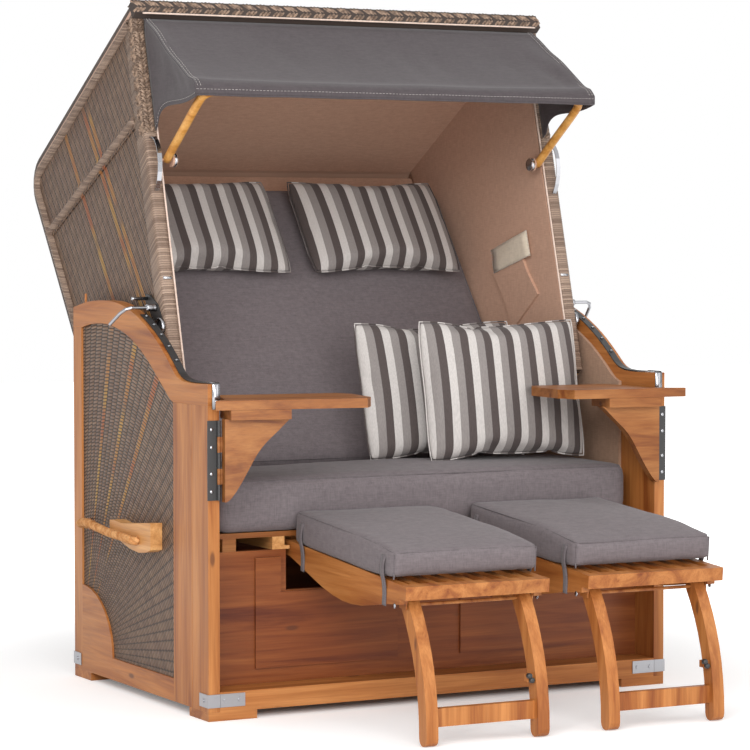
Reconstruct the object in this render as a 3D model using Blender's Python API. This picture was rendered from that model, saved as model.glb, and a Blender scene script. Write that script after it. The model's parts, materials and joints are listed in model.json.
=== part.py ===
"""Two-seat hooded beach chair with a tilting hood, awning, side tables and pull-out footrests.

Metres, +Z up, the front faces -Y and the floor is z = 0. The base is modelled about the middle of
its depth, and the last step moves the whole chair so that its box stands centred on the origin.
"""
import math

import bmesh
import bpy
from mathutils import Matrix, Vector

for old in list(bpy.data.objects):
    bpy.data.objects.remove(old)

# Clearances and round counts
GAP = 0.0003
SINK = 0.0010
BORE_CLEARANCE = 0.0006
ROUND_SIDES = 12
CURVE_STEPS = 3
FORM_CELLS = 10

# Base
BASE_WIDTH = 1.22
BASE_DEPTH = 0.80
SIDE_BOARD = 0.028
FOOT_HEIGHT = 0.020
FOOT_LENGTH = 0.105
FOOT_WIDTH = 0.121
POST_TOP = 0.762
POST_JOINT = 0.712
POST_FRONT_BOARD = 0.088
POST_REAR_BOARD = 0.104
POST_SEAM = 0.002
STILE_DEPTH = 0.051
STILE_JOINT = 0.868
ARCH_TOP = 0.937
RAIL_HEIGHT = 0.053
QUARTER_LENGTH = 0.190
QUARTER_HEIGHT = 0.160
WEAVE_THICKNESS = 0.016
WEAVE_INSET = 0.005
LINING_THICKNESS = 0.0077
LINING_DROP = 0.030
LINING_FRONT = -0.250
LINING_FOOT = 0.078
SILL_HEIGHT = 0.045
SILL_DEPTH = 0.100
WALL_THICKNESS = 0.016
WALL_TOP = 0.372
NOTCH_BOTTOM = 0.277
NOTCH_HALF = 0.190
PANEL_PROUD = 0.006
PANEL_INNER = 0.085
PANEL_OUTER = 0.455
PANEL_BOTTOM = 0.100
PANEL_TOP = 0.274
PANEL_HORN = 0.390
PANEL_HORN_TOP = 0.355
BACK_PANEL_THICKNESS = 0.020
BACK_PANEL_TOP = 0.600
BACK_SILL_HEIGHT = 0.055
SEAT_BOARD = 0.012
SEAT_HEIGHT = 0.414
BEARER_WIDTH = 0.034
BEARER_INSET = 0.063

# Outlines of the arch board, as shares of the base's depth and of the rise above the front post
ARCH_UPPER_SHARES = (
    (0.000, 0.00), (0.105, -0.01), (0.165, 0.00), (0.200, 0.03), (0.228, 0.09), (0.265, 0.22),
    (0.330, 0.43), (0.395, 0.60), (0.470, 0.76), (0.540, 0.87), (0.620, 0.96), (0.700, 1.00),
    (0.800, 1.00), (0.880, 0.975), (0.945, 0.93), (1.000, 0.885))
ARCH_LOWER_SHARES = (
    (0.940, 0.610), (0.860, 0.665), (0.775, 0.685), (0.695, 0.665), (0.600, 0.580), (0.510, 0.440),
    (0.425, 0.240), (0.345, 0.000), (0.285, -0.180), (0.240, -0.325))

# Fittings of the base
BRACKET_SHEET = 0.0025
BRACKET_HEIGHT = 0.030
BRACKET_FRONT = 0.090
BRACKET_SIDE = 0.045
BRACKET_FOOT = 0.031
SCREW_RADIUS = 0.0045
SCREW_HEAD = 0.0020
STRAP_DROP = 0.057
STRAP_REACH = 0.030
RACK_WIDTH = 0.018
RACK_THICKNESS = 0.002
RACK_STUDS = 5
RACK_FIRST_SHARE = 0.24
RACK_LAST_SHARE = 0.51
STUD_RADIUS = 0.004
STUD_HEIGHT = 0.002
STUD_SIDES = 8
UPRIGHT_PIN_Y = 0.352
UPRIGHT_PIN_RADIUS = 0.003
UPRIGHT_PIN_HEIGHT = 0.026
RING_RADIUS = 0.021
RING_STRAP = 0.002
RING_WIDTH = 0.011

# Carry handles
GRIP_FRONT = -0.132
GRIP_REAR = 0.112
GRIP_DEPTH = 0.030
GRIP_TOP_SHARES = (
    (0.00, 1.00), (0.16, 0.96), (0.35, 0.90), (0.55, 0.84), (0.72, 0.80), (0.88, 0.86), (1.00, 0.84))
GRIP_BOTTOM_SHARES = (
    (1.00, 0.56), (0.88, 0.40), (0.72, 0.22), (0.50, 0.06), (0.28, 0.00), (0.10, 0.06), (0.00, 0.16))
GRIP_BOTTOM = 0.352
GRIP_HEIGHT = 0.075
ROPE_RADIUS = 0.0100
ROPE_WALL = 0.0120
ROPE_POINTS = (
    (0.0135, 0.3050, 0.3860), (0.0290, 0.3040, 0.3860), (0.0440, 0.2930, 0.3895), (0.0530, 0.2640, 0.3960),
    (0.0570, 0.2150, 0.3990), (0.0570, 0.1500, 0.3930), (0.0570, 0.0800, 0.3870), (0.0570, 0.0100, 0.3850),
    (0.0570, -0.0470, 0.3810), (0.0550, -0.0543, 0.3805), (0.0500, -0.0597, 0.3800), (0.0437, -0.0607, 0.3800))
ROPE_STEPS = 3

# Hood, drawn upright about its pivot: u runs backwards and w runs up along the back
PIVOT_Y = 0.150
PIVOT_Z = 0.440
HOOD_RECLINE = 37.0
HOOD_WIDTH = 1.12
HOOD_WALL = 0.030
HOOD_BACK_FACE = 0.058
HOOD_TOP = 1.047
ROOF_FALL = 6.75
ROOF_THICKNESS = 0.024
HOOD_FRONT_U = -0.722
FRONT_EDGE_SLOPE = 21.2
HOOD_BOTTOM = 0.105
KNEE_RADIUS = 0.075
KNEE_STEPS = 6
BACK_SKIN = 0.014
BACK_SKIN_FOOT = 0.120
BATTEN_WIDTH = 0.050
BACK_BOARD_THICKNESS = 0.012
BACK_BOARD_FACE = -0.012
BACK_BOARD_FOOT = 0.050
HOOD_LINING = 0.003
LINING_REAR_CLEAR = 0.012
BAND_PROUD = 0.003
POST_BAND = 0.050
EDGE_ROLL_RADIUS = 0.011
DIAGONAL_WIDTH = 0.036
DIAGONAL_HIGH_SHARE = 0.66
DIAGONAL_LOW_SHARE = 0.79
BRAID_HEIGHT = 0.040
BRAID_DEPTH = 0.024
ARM_THICKNESS = 0.005
ARM_HALF_WIDTH = 0.020
ARM_TOP = 0.300
PIVOT_PIN = 0.006
PIVOT_HEAD = 0.012
PIVOT_HEAD_DEPTH = 0.005
BOW_W = 0.590
BOW_HALF = 0.062
BOW_BULGE = 0.052
BOW_INSET = 0.016
STOP_PIN_W = 0.337
STOP_PIN_U = -0.392
STOP_PIN_RADIUS = 0.004
STOP_PIN_LENGTH = 0.040
LOCK_U = -0.419
LOCK_W = 0.291
BARREL_RADIUS = 0.008
BARREL_LENGTH = 0.024
LOCK_ROD = 0.0042
LOCK_REACH = 0.078
LOCK_BEND = 0.016
LOCK_DROP = 0.040
LOCK_BACK = 0.055
LOCK_PLATE = 0.003
PLATE_MARGIN = 0.014
POCKET_SHARES = ((0.00, 0.00), (1.00, 0.00), (0.94, 0.45), (0.97, 1.00), (0.03, 1.00), (0.06, 0.45))
POCKET_U = -0.305
POCKET_W = 0.345
POCKET_WIDTH = 0.155
POCKET_HEIGHT = 0.175
POCKET_DEPTH = 0.007

# Awning
AWNING_PIVOT_U = -0.586
AWNING_PIVOT_W = 0.603
AWNING_BAR_U = -0.268
AWNING_BAR_W = -0.008
AWNING_ARM_X = 0.513
AWNING_ARM_WIDTH = 0.020
AWNING_ARM_DEPTH = 0.026
AWNING_BAR_RADIUS = 0.011
AWNING_KNOB_RADIUS = 0.017
AWNING_KNOB_DEPTH = 0.012
CANOPY_THICKNESS = 0.003
CANOPY_HALF_WIDTH = 0.540
CANOPY_SAG = 0.020
CANOPY_RIPPLE = 0.004
CANOPY_RIPPLES = 7
CANOPY_EDGE_W = 0.915
CANOPY_FRONT_CLEAR = 0.006
CANOPY_HEM = 0.018
CANOPY_ACROSS = 28
CANOPY_ALONG = 8
GUSSET_LOW_SHARES = ((0.00, 1.00), (0.10, 1.10), (0.30, 1.16), (0.55, 1.13), (0.80, 1.04))

# Soft parts of the seat and the hood
SEAT_CUSHION_FRONT = -0.330
SEAT_CUSHION_REAR = 0.030
SEAT_CUSHION_WIDTH = 1.096
SEAT_CUSHION_HEIGHT = 0.136
BACK_CUSHION_FACE = -0.122
BACK_CUSHION_FOOT = 0.036
BACK_CUSHION_TOP = 0.885
BACK_CUSHION_WIDTH = 1.040
CUSHION_EDGE = 0.022
CUSHION_CROWN = 0.014
CUSHION_DRAW_SHARE = 0.006
HEADREST_WIDTH = 0.420
HEADREST_LENGTH = 0.290
HEADREST_HALF = 0.050
HEADREST_SETTLE = 0.0078
HEADREST_LOW = 0.568
HEADREST_LEFT_X = -0.245
HEADREST_RIGHT_X = 0.250
THROW_WIDTH = 0.432
THROW_HEIGHT = 0.342
THROW_HALF = 0.048
THROW_DRAW_SHARE = 0.055
REAR_THROW_X = 0.188
REAR_THROW_Y = -0.078
REAR_THROW_LEAN = 15.0
FRONT_THROW_X = 0.298
FRONT_THROW_Y = -0.184
FRONT_THROW_LEAN = 11.0
REAR_THROW_DROP = 0.0025
FRONT_THROW_DROP = 0.0015

# Side tables: each turns about a hinge on its front post
HINGE_X = 0.586
HINGE_FORWARD = 0.0066
HINGE_LOW = 0.500
HINGE_HIGH = 0.680
HINGE_LEAF = 0.026
HINGE_SHEET = 0.0018
KNUCKLE_RADIUS = 0.004
KNUCKLES = 5
LEFT_TABLE_TURN = -9.0
RIGHT_TABLE_TURN = -4.0
TABLE_BOTTOM = 0.705
TABLE_THICKNESS = 0.022
LEFT_TABLE_LENGTH = 0.380
RIGHT_TABLE_LENGTH = 0.325
LEFT_TABLE_OVERHANG = 0.020
RIGHT_TABLE_OVERHANG = 0.052
TABLE_NEAR = 0.045
TABLE_DEPTH = 0.228
TABLE_CLIP = 0.045
TABLE_FAR_START = 0.047
CLEAT_LENGTH = 0.157
CLEAT_HALF_DEPTH = 0.046
CLEAT_HEIGHT = 0.022
BRACKET_BOARD = 0.026
BRACKET_REACH = 0.165
BRACKET_TIP = 0.497
BRACKET_CURVE_SHARES = (
    (0.96, 0.99), (0.80, 0.86), (0.62, 0.72), (0.50, 0.60), (0.40, 0.46), (0.28, 0.28), (0.16, 0.12),
    (0.06, 0.02), (0.00, 0.00))

# Footrests: each slider carries a frame that tilts, and the frame carries legs that fold
LEFT_FOOTREST_X = -0.185
RIGHT_FOOTREST_X = 0.275
RUNNER_INNER = 0.1935
RUNNER_WIDTH = 0.031
LEDGE_INNER = 0.1805
LEDGE_THICKNESS = 0.008
RUNNER_REAR = 0.300
SLIDER_FRONT = -0.262
SLIDER_DEPTH = 0.047
SLIDER_SIDE_CLEAR = 0.001
TILT_Y = -0.285
TILT_Z = 0.384
FOOTREST_TILT = 4.8
TILT_PIN = 0.004
FRAME_HALF = 0.178
RAIL_THICKNESS = 0.020
RAIL_UP = 0.008
RAIL_DOWN = 0.027
RAIL_REAR = 0.012
FRONT_BOARD_REAR = 0.568
FRONT_BOARD_DEPTH = 0.030
FRONT_BOARD_HEIGHT = 0.030
APRON_START = 0.030
APRON_DROP_SHARES = ((0.00, 0.00), (0.14, 0.34), (0.32, 0.78), (0.50, 1.00), (0.68, 0.86), (0.86, 0.42), (1.00, 0.16))
APRON_DROP = 0.052
SLATS = 7
SLAT_WIDTH = 0.020
SLAT_THICKNESS = 0.012
SLAT_DROP = 0.002
CROSS_RAIL_DEPTH = 0.030
CROSS_RAIL_HEIGHT = 0.014
MID_RAIL_AT = 0.280
AXLE_FORWARD = 0.547
AXLE_DROP = 0.042
AXLE_RADIUS = 0.004
AXLE_PLATE = 0.003
AXLE_PLATE_HALF = 0.016
LEG_CENTRE = 0.139
LEG_THICKNESS = 0.029
LEG_DEPTH = 0.034
LEG_FOOT_FORWARD = 0.082
LEG_STEPS = 8
LEG_BAR_LOW = 0.040
LEG_BAR_HIGH = 0.080
LEG_BAR_THICKNESS = 0.018
CLIP_HEIGHT = 0.140
CLIP_SIZE = 0.016
PAD_NEAR = 0.054
PAD_FAR = 0.566
PAD_HALF_WIDTH = 0.183
PAD_HEIGHT = 0.078
PAD_SETTLE = 0.0008

HALF_WIDTH = BASE_WIDTH / 2
HALF_DEPTH = BASE_DEPTH / 2
INNER_X = HALF_WIDTH - SIDE_BOARD
LINING_X = INNER_X - GAP - LINING_THICKNESS
HOOD_HALF = HOOD_WIDTH / 2
HOOD_INNER = HOOD_HALF - HOOD_WALL
HOOD_LINING_X = HOOD_INNER - GAP - HOOD_LINING
SEAT_BOTTOM = SEAT_HEIGHT - SEAT_BOARD
WALL_FRONT = -HALF_DEPTH + SILL_DEPTH - WALL_THICKNESS
BACK_PANEL_FRONT = HALF_DEPTH - BACK_PANEL_THICKNESS
SIDES = (("left", -1), ("right", 1))


def material(name, colour, roughness, metallic=0.0):
    made = bpy.data.materials.new(name)
    made.use_nodes = True
    shader = made.node_tree.nodes["Principled BSDF"]
    shader.inputs["Base Color"].default_value = (*colour, 1.0)
    shader.inputs["Roughness"].default_value = roughness
    shader.inputs["Metallic"].default_value = metallic
    made.diffuse_color = (*colour, 1.0)
    return made


WOOD = material("teak", (0.58, 0.29, 0.12), 0.5)
PALE_WOOD = material("pale_wood", (0.72, 0.50, 0.26), 0.5)
WEAVE = material("weave", (0.21, 0.15, 0.12), 0.6)
LINING = material("lining", (0.42, 0.30, 0.23), 0.9)
GREY_CLOTH = material("grey_cloth", (0.13, 0.125, 0.14), 0.9)
STRIPED_CLOTH = material("striped_cloth", (0.40, 0.38, 0.38), 0.9)
AWNING_CLOTH = material("awning_cloth", (0.09, 0.09, 0.10), 0.85)
CHROME = material("chrome", (0.75, 0.75, 0.76), 0.2, 1.0)
BLACK_METAL = material("black_metal", (0.03, 0.03, 0.03), 0.4, 0.8)
ROPE = material("rope", (0.62, 0.38, 0.17), 0.85)


def prism(bm, axis, outline, low, high, holes=()):
    """Extrudes an outline along an axis; the outline's coordinates are the two other axes in order."""
    def place(a, b, level):
        return {"X": (level, a, b), "Y": (a, level, b), "Z": (a, b, level)}[axis]

    loops = [outline, *holes]
    rings = []
    for level in (low, high):
        edges = []
        ring = []
        for loop in loops:
            points = [bm.verts.new(place(a, b, level)) for a, b in loop]
            ring.append(points)
            for here, after in zip(points, points[1:] + points[:1]):
                edges.append(bm.edges.new((here, after)))
        bmesh.ops.triangle_fill(bm, use_beauty=True, use_dissolve=False, edges=edges)
        rings.append(ring)
    for lower, upper in zip(*rings):
        count = len(lower)
        for i in range(count):
            j = (i + 1) % count
            bm.faces.new((lower[i], lower[j], upper[j], upper[i]))


def box(bm, x, y, z):
    x0, x1 = sorted(x)
    y0, y1 = y
    prism(bm, "Z", ((x0, y0), (x1, y0), (x1, y1), (x0, y1)), *z)


def circle(a, b, radius, sides=ROUND_SIDES):
    turns = [math.tau * i / sides for i in range(sides)]
    return [(a + radius * math.cos(turn), b + radius * math.sin(turn)) for turn in turns]


def disc(bm, axis, a, b, radius, low, high, bore=0.0, sides=ROUND_SIDES):
    low, high = sorted((low, high))
    holes = (circle(a, b, bore, sides),) if bore else ()
    prism(bm, axis, circle(a, b, radius, sides), low, high, holes)


def spline(points, steps=CURVE_STEPS):
    """Points along a smooth curve through the given ones (Catmull-Rom)."""
    points = [Vector(p) for p in points]
    ends = [2 * points[0] - points[1], *points, 2 * points[-1] - points[-2]]
    curve = []
    for p0, p1, p2, p3 in zip(ends, ends[1:], ends[2:], ends[3:]):
        for i in range(steps):
            t = i / steps
            curve.append(0.5 * (2 * p1 + (p2 - p0) * t + (2 * p0 - 5 * p1 + 4 * p2 - p3) * t ** 2
                                + (3 * p1 - p0 - 3 * p2 + p3) * t ** 3))
    return [*curve, points[-1]]


def ribbon(bm, axis, path, thickness, low, high):
    """A strap of even thickness that follows a path, extruded along an axis."""
    path = [Vector(p) for p in path]
    sides = [[], []]
    for i, here in enumerate(path):
        before = path[max(i - 1, 0)]
        after = path[min(i + 1, len(path) - 1)]
        along = (after - before).normalized()
        across = Vector((-along.y, along.x)) * thickness / 2
        sides[0].append(tuple(here + across))
        sides[1].append(tuple(here - across))
    prism(bm, axis, sides[0] + sides[1][::-1], low, high)


def tube(bm, points, radius, sides=ROUND_SIDES):
    """A round bar along points."""
    points = [Vector(p) for p in points]
    rings = []
    normal = None
    for i, here in enumerate(points):
        along = (points[min(i + 1, len(points) - 1)] - points[max(i - 1, 0)]).normalized()
        if normal is None:
            normal = along.orthogonal().normalized()
        normal = (normal - along * normal.dot(along)).normalized()
        other = along.cross(normal)
        turns = [math.tau * k / sides for k in range(sides)]
        rings.append([bm.verts.new(here + radius * (normal * math.cos(a) + other * math.sin(a)))
                      for a in turns])
    for first, second in zip(rings, rings[1:]):
        for k in range(sides):
            m = (k + 1) % sides
            bm.faces.new((first[k], first[m], second[m], second[k]))
    bm.faces.new(rings[0])
    bm.faces.new(rings[-1])


def islands(bm):
    """The bodies of a mesh, each as its own mesh with its faces turned outward."""
    bmesh.ops.recalc_face_normals(bm, faces=bm.faces)
    left = set(bm.faces)
    found = []
    while left:
        queue = [left.pop()]
        group = set(queue)
        while queue:
            for edge in queue.pop().edges:
                for face in edge.link_faces:
                    if face not in group:
                        group.add(face)
                        queue.append(face)
        left -= group
        single = bmesh.new()
        copies = {}
        for face in group:
            for vert in face.verts:
                if vert not in copies:
                    copies[vert] = single.verts.new(vert.co)
            single.faces.new([copies[vert] for vert in face.verts])
        if single.calc_volume(signed=True) < 0:
            bmesh.ops.reverse_faces(single, faces=single.faces)
        found.append((min(tuple(vert.co) for vert in copies), single))
    bm.free()
    return [single for key, single in sorted(found, key=lambda pair: pair[0])]


def object_of(name, bm, look):
    mesh = bpy.data.meshes.new(name)
    bm.to_mesh(mesh)
    bm.free()
    mesh.materials.append(look)
    made = bpy.data.objects.new(name, mesh)
    bpy.context.scene.collection.objects.link(made)
    return made


def finish(name, bm, look, parent=None, smooth=False, fittings=None, fittings_look=None):
    """Makes one object of shapes that reach into each other, with its fittings in their own material."""
    bodies = [(body, look) for body in islands(bm)]
    if fittings:
        bodies += [(body, fittings_look) for body in islands(fittings)]
    made = object_of(name, *bodies[0])
    joined = []
    for body, body_look in bodies[1:]:
        piece = object_of(name + "_piece", body, body_look)
        union = made.modifiers.new("join", "BOOLEAN")
        union.operation = "UNION"
        union.solver = "EXACT"
        union.material_mode = "TRANSFER"
        union.object = piece
        joined.append(piece)
    if joined:
        graph = bpy.context.evaluated_depsgraph_get()
        whole = bpy.data.meshes.new_from_object(made.evaluated_get(graph))
        made.modifiers.clear()
        made.data = whole
        for piece in joined:
            bpy.data.objects.remove(piece)
    if smooth:
        made.data.shade_smooth()
        made.data.set_sharp_from_angle(angle=math.radians(40))
    made.parent = parent
    return made


def pivot_empty(name, location, turn=(0, 0, 0), parent=None):
    made = bpy.data.objects.new(name, None)
    bpy.context.scene.collection.objects.link(made)
    made.location = location
    made.rotation_euler = [math.radians(angle) for angle in turn]
    made.parent = parent
    return made


def cushion(bm, low, high, crown_axis, edge=CUSHION_EDGE, crown=CUSHION_CROWN):
    """A boxed cushion with rounded edges, a crown on its two large faces and drawn-in sides."""
    made = bmesh.ops.create_cube(bm, size=2.0)
    edges = {e for v in made["verts"] for e in v.link_edges}
    bmesh.ops.subdivide_edges(bm, edges=list(edges), cuts=FORM_CELLS - 1, use_grid_fill=True)
    centre = (Vector(low) + Vector(high)) / 2
    half = (Vector(high) - Vector(low)) / 2
    flat = [i for i in range(3) if i != crown_axis]
    half[crown_axis] -= crown
    for vert in bm.verts:
        share = [math.sin(math.pi / 2 * c) for c in vert.co]
        point = Vector([s * h for s, h in zip(share, half)])
        core = Vector([max(-h + edge, min(h - edge, p)) for p, h in zip(point, half)])
        away = point - core
        if away.length > 0:
            point = core + away.normalized() * edge
        dome = math.prod(math.cos(math.pi / 2 * point[i] / half[i]) for i in flat)
        point[crown_axis] += crown * dome * share[crown_axis]
        for i, other in (flat, flat[::-1]):
            point[i] *= 1 - CUSHION_DRAW_SHARE * math.cos(math.pi / 2 * point[other] / half[other])
        vert.co = centre + point


def pillow(bm, place, width, height, half):
    """A knife-edged pillow with pointed corners; place turns its own x, y and z into the parent's."""
    cells = FORM_CELLS
    grid = {}
    for side in (-1, 1):
        for i in range(cells + 1):
            for j in range(cells + 1):
                a = 2 * i / cells - 1
                b = 2 * j / cells - 1
                if side > 0 and abs(a) == 1 or side > 0 and abs(b) == 1:
                    grid[side, i, j] = grid[-1, i, j]
                    continue
                x = width / 2 * a * (1 - THROW_DRAW_SHARE * (1 - b * b))
                y = height / 2 * b * (1 - THROW_DRAW_SHARE * (1 - a * a))
                rise = half * (math.cos(math.pi / 2 * a) * math.cos(math.pi / 2 * b)) ** 0.55
                grid[side, i, j] = bm.verts.new(place @ Vector((x, y, side * rise)))
        for i in range(cells):
            for j in range(cells):
                bm.faces.new([grid[side, *corner] for corner in
                              ((i, j), (i + 1, j), (i + 1, j + 1), (i, j + 1))])


def arch_point(share):
    return (-HALF_DEPTH + BASE_DEPTH * share[0], POST_TOP + (ARCH_TOP - POST_TOP) * share[1])


ARCH_UPPER = [tuple(p) for p in spline([arch_point(s) for s in ARCH_UPPER_SHARES], 2)]
ARCH_LOWER = [tuple(p) for p in spline([arch_point(s) for s in ARCH_LOWER_SHARES], 2)]


def arch_height(y):
    """Height of the arch board's top at a depth."""
    for (y0, z0), (y1, z1) in zip(ARCH_UPPER, ARCH_UPPER[1:]):
        if y0 <= y <= y1:
            return z0 + (z1 - z0) * (y - y0) / (y1 - y0)
    return ARCH_TOP


def span(side, near, far):
    """An x range on one side of the chair."""
    return tuple(sorted((side * near, side * far)))


def bracket(bm, side, facing):
    """A steel angle round a lower corner, with its screws."""
    low = BRACKET_FOOT
    middle = low + BRACKET_HEIGHT / 2
    face = facing * (HALF_DEPTH - SINK)
    outer = facing * (HALF_DEPTH + BRACKET_SHEET)
    wrap = side * (HALF_WIDTH - SINK)
    skin = side * (HALF_WIDTH + BRACKET_SHEET)
    inner_end = side * (INNER_X + GAP)
    side_end = facing * (HALF_DEPTH - BRACKET_SIDE)
    outline = [(inner_end, face), (wrap, face), (wrap, side_end), (skin, side_end), (skin, outer),
               (inner_end, outer)]
    prism(bm, "Z", outline, low, low + BRACKET_HEIGHT)
    disc(bm, "X", facing * (HALF_DEPTH - BRACKET_SIDE / 2), middle, SCREW_RADIUS, skin - side * SINK,
         skin + side * SCREW_HEAD)


def front_bracket_arm(bm, side):
    """The bracket's arm on the sill's face."""
    face = -HALF_DEPTH + SINK
    outer = -HALF_DEPTH - BRACKET_SHEET
    x = span(side, INNER_X - GAP, HALF_WIDTH - BRACKET_FRONT)
    box(bm, x, (outer, face), (BRACKET_FOOT, BRACKET_FOOT + BRACKET_HEIGHT))
    for share in (0.45, 0.85):
        at = side * (HALF_WIDTH - BRACKET_FRONT * share)
        disc(bm, "Y", at, BRACKET_FOOT + BRACKET_HEIGHT / 2, SCREW_RADIUS, outer + SINK, outer - SCREW_HEAD)


def make_sides(root):
    seam_y = -HALF_DEPTH + POST_FRONT_BOARD
    panel_front = seam_y + POST_REAR_BOARD
    stile_y = HALF_DEPTH - STILE_DEPTH
    rail_top = FOOT_HEIGHT + RAIL_HEIGHT
    inner = [(y, z) for y, z in ARCH_LOWER if panel_front < y < stile_y]
    turns = [math.pi / 2 * i / FORM_CELLS for i in range(FORM_CELLS + 1)]
    for word, side in SIDES:
        board = span(side, INNER_X, HALF_WIDTH)
        bm = bmesh.new()
        notch = POST_SEAM / 2
        outline = [(INNER_X, -HALF_DEPTH), (HALF_WIDTH, -HALF_DEPTH), (HALF_WIDTH, seam_y - notch),
                   (HALF_WIDTH - POST_SEAM, seam_y), (HALF_WIDTH, seam_y + notch), (HALF_WIDTH, panel_front),
                   (INNER_X, panel_front)]
        prism(bm, "Z", [(side * x, y) for x, y in outline], FOOT_HEIGHT + GAP, POST_JOINT)
        steel = bmesh.new()
        bracket(steel, side, -1)
        finish(word + "_front_post", bm, WOOD, root, False, steel, CHROME)
        bm = bmesh.new()
        box(bm, board, (stile_y, HALF_DEPTH), (FOOT_HEIGHT + GAP, STILE_JOINT - GAP))
        steel = bmesh.new()
        bracket(steel, side, 1)
        finish(word + "_back_post", bm, WOOD, root, False, steel, CHROME)
        bm = bmesh.new()
        outline = [(-HALF_DEPTH, POST_JOINT + GAP), *ARCH_UPPER, (HALF_DEPTH, STILE_JOINT),
                   (stile_y, STILE_JOINT), *inner, (panel_front, POST_JOINT + GAP)]
        prism(bm, "X", outline, *board)
        steel = bmesh.new()
        foot = arch_height(UPRIGHT_PIN_Y)
        disc(steel, "Z", side * (HALF_WIDTH - SIDE_BOARD / 2), UPRIGHT_PIN_Y, UPRIGHT_PIN_RADIUS,
             foot - STRAP_REACH / 2, foot + UPRIGHT_PIN_HEIGHT)
        finish(word + "_arch_board", bm, WOOD, root, False, steel, CHROME)
        woven = span(side, HALF_WIDTH - WEAVE_INSET - WEAVE_THICKNESS, HALF_WIDTH - WEAVE_INSET)
        edge = stile_y - GAP
        cut = [(edge - (QUARTER_LENGTH + GAP) * math.cos(a), rail_top + GAP + (QUARTER_HEIGHT + GAP) * math.sin(a))
               for a in turns]
        top = [(y, z - GAP * 2) for y, z in inner]
        outline = [(panel_front + GAP, rail_top + GAP), *cut, (edge, STILE_JOINT - GAP), *top,
                   (panel_front + GAP, POST_JOINT - GAP)]
        bm = bmesh.new()
        prism(bm, "X", outline, *woven)
        finish(word + "_woven_panel", bm, WEAVE, root)
        bm = bmesh.new()
        box(bm, board, (panel_front + GAP, edge), (FOOT_HEIGHT + GAP, rail_top))
        corner = (edge, rail_top - SINK)
        arc = [(edge - QUARTER_LENGTH * math.cos(a), rail_top - SINK + (QUARTER_HEIGHT + SINK) * math.sin(a))
               for a in turns]
        prism(bm, "X", [corner, *arc], *board)
        finish(word + "_bottom_rail", bm, WOOD, root)
        make_side_lining(word, side, root, stile_y)


def make_side_lining(word, side, root, stile_y):
    """The board inside a side, with the bolt that the hood's arm turns on."""
    top = [(y, arch_height(y) - LINING_DROP) for y, z in ARCH_UPPER if LINING_FRONT < y < stile_y]
    rear = BACK_PANEL_FRONT - GAP
    outline = [(LINING_FRONT, SEAT_HEIGHT), (LINING_FRONT, LINING_FOOT), (rear, LINING_FOOT),
               (rear, BACK_PANEL_TOP), (stile_y, top[-1][1]), *top[::-1],
               (LINING_FRONT, arch_height(LINING_FRONT) - LINING_DROP)]
    bm = bmesh.new()
    prism(bm, "X", outline, *span(side, LINING_X, INNER_X - GAP))
    bolt = bmesh.new()
    head_start = side * (HOOD_HALF - GAP)
    disc(bolt, "X", PIVOT_Y, PIVOT_Z, PIVOT_PIN, side * (LINING_X + SINK), head_start - side * SINK)
    disc(bolt, "X", PIVOT_Y, PIVOT_Z, PIVOT_HEAD, head_start, head_start - side * PIVOT_HEAD_DEPTH)
    finish(word + "_side_lining", bm, LINING, root, False, bolt, CHROME)


def make_front_and_back(root):
    across = (-INNER_X + GAP, INNER_X - GAP)
    sill_top = FOOT_HEIGHT + SILL_HEIGHT
    bm = bmesh.new()
    box(bm, across, (-HALF_DEPTH, -HALF_DEPTH + SILL_DEPTH), (FOOT_HEIGHT, sill_top))
    add_feet(bm, -HALF_DEPTH)
    steel = bmesh.new()
    for word, side in SIDES:
        front_bracket_arm(steel, side)
    finish("front_sill", bm, WOOD, root, False, steel, CHROME)
    outline = [(across[0], sill_top + GAP), (across[1], sill_top + GAP), (across[1], WALL_TOP)]
    for middle in (RIGHT_FOOTREST_X, LEFT_FOOTREST_X):
        outline += [(middle + NOTCH_HALF, WALL_TOP), (middle + NOTCH_HALF, NOTCH_BOTTOM),
                    (middle - NOTCH_HALF, NOTCH_BOTTOM), (middle - NOTCH_HALF, WALL_TOP)]
    outline += [(across[0], WALL_TOP)]
    bm = bmesh.new()
    prism(bm, "Y", outline, WALL_FRONT, WALL_FRONT + WALL_THICKNESS)
    for word, side in SIDES:
        field = [(PANEL_OUTER, PANEL_BOTTOM), (PANEL_INNER, PANEL_BOTTOM), (PANEL_INNER, PANEL_TOP),
                 (PANEL_HORN, PANEL_TOP)]
        if side < 0:
            field += [(PANEL_HORN, PANEL_HORN_TOP), (PANEL_OUTER, PANEL_HORN_TOP)]
        else:
            field += [(PANEL_OUTER, PANEL_TOP)]
        prism(bm, "Y", [(side * x, z) for x, z in field], WALL_FRONT - PANEL_PROUD, WALL_FRONT + SINK)
    finish("front_wall", bm, WOOD, root)
    back_sill_top = FOOT_HEIGHT + BACK_SILL_HEIGHT
    bm = bmesh.new()
    box(bm, across, (BACK_PANEL_FRONT, HALF_DEPTH), (back_sill_top + GAP, BACK_PANEL_TOP))
    finish("back_panel", bm, WOOD, root)
    bm = bmesh.new()
    box(bm, across, (HALF_DEPTH - STILE_DEPTH, HALF_DEPTH), (FOOT_HEIGHT, back_sill_top))
    add_feet(bm, HALF_DEPTH - FOOT_LENGTH)
    finish("back_sill", bm, WOOD, root)


def add_feet(bm, front):
    """A foot block under each end of a sill, in one piece with it."""
    for word, side in SIDES:
        inner = HALF_WIDTH - FOOT_WIDTH
        box(bm, span(side, inner, HALF_WIDTH), (front, front + FOOT_LENGTH), (0, FOOT_HEIGHT))
        box(bm, span(side, inner, INNER_X - GAP), (front + SINK, front + STILE_DEPTH - SINK),
            (FOOT_HEIGHT - SINK, FOOT_HEIGHT + SINK))


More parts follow.
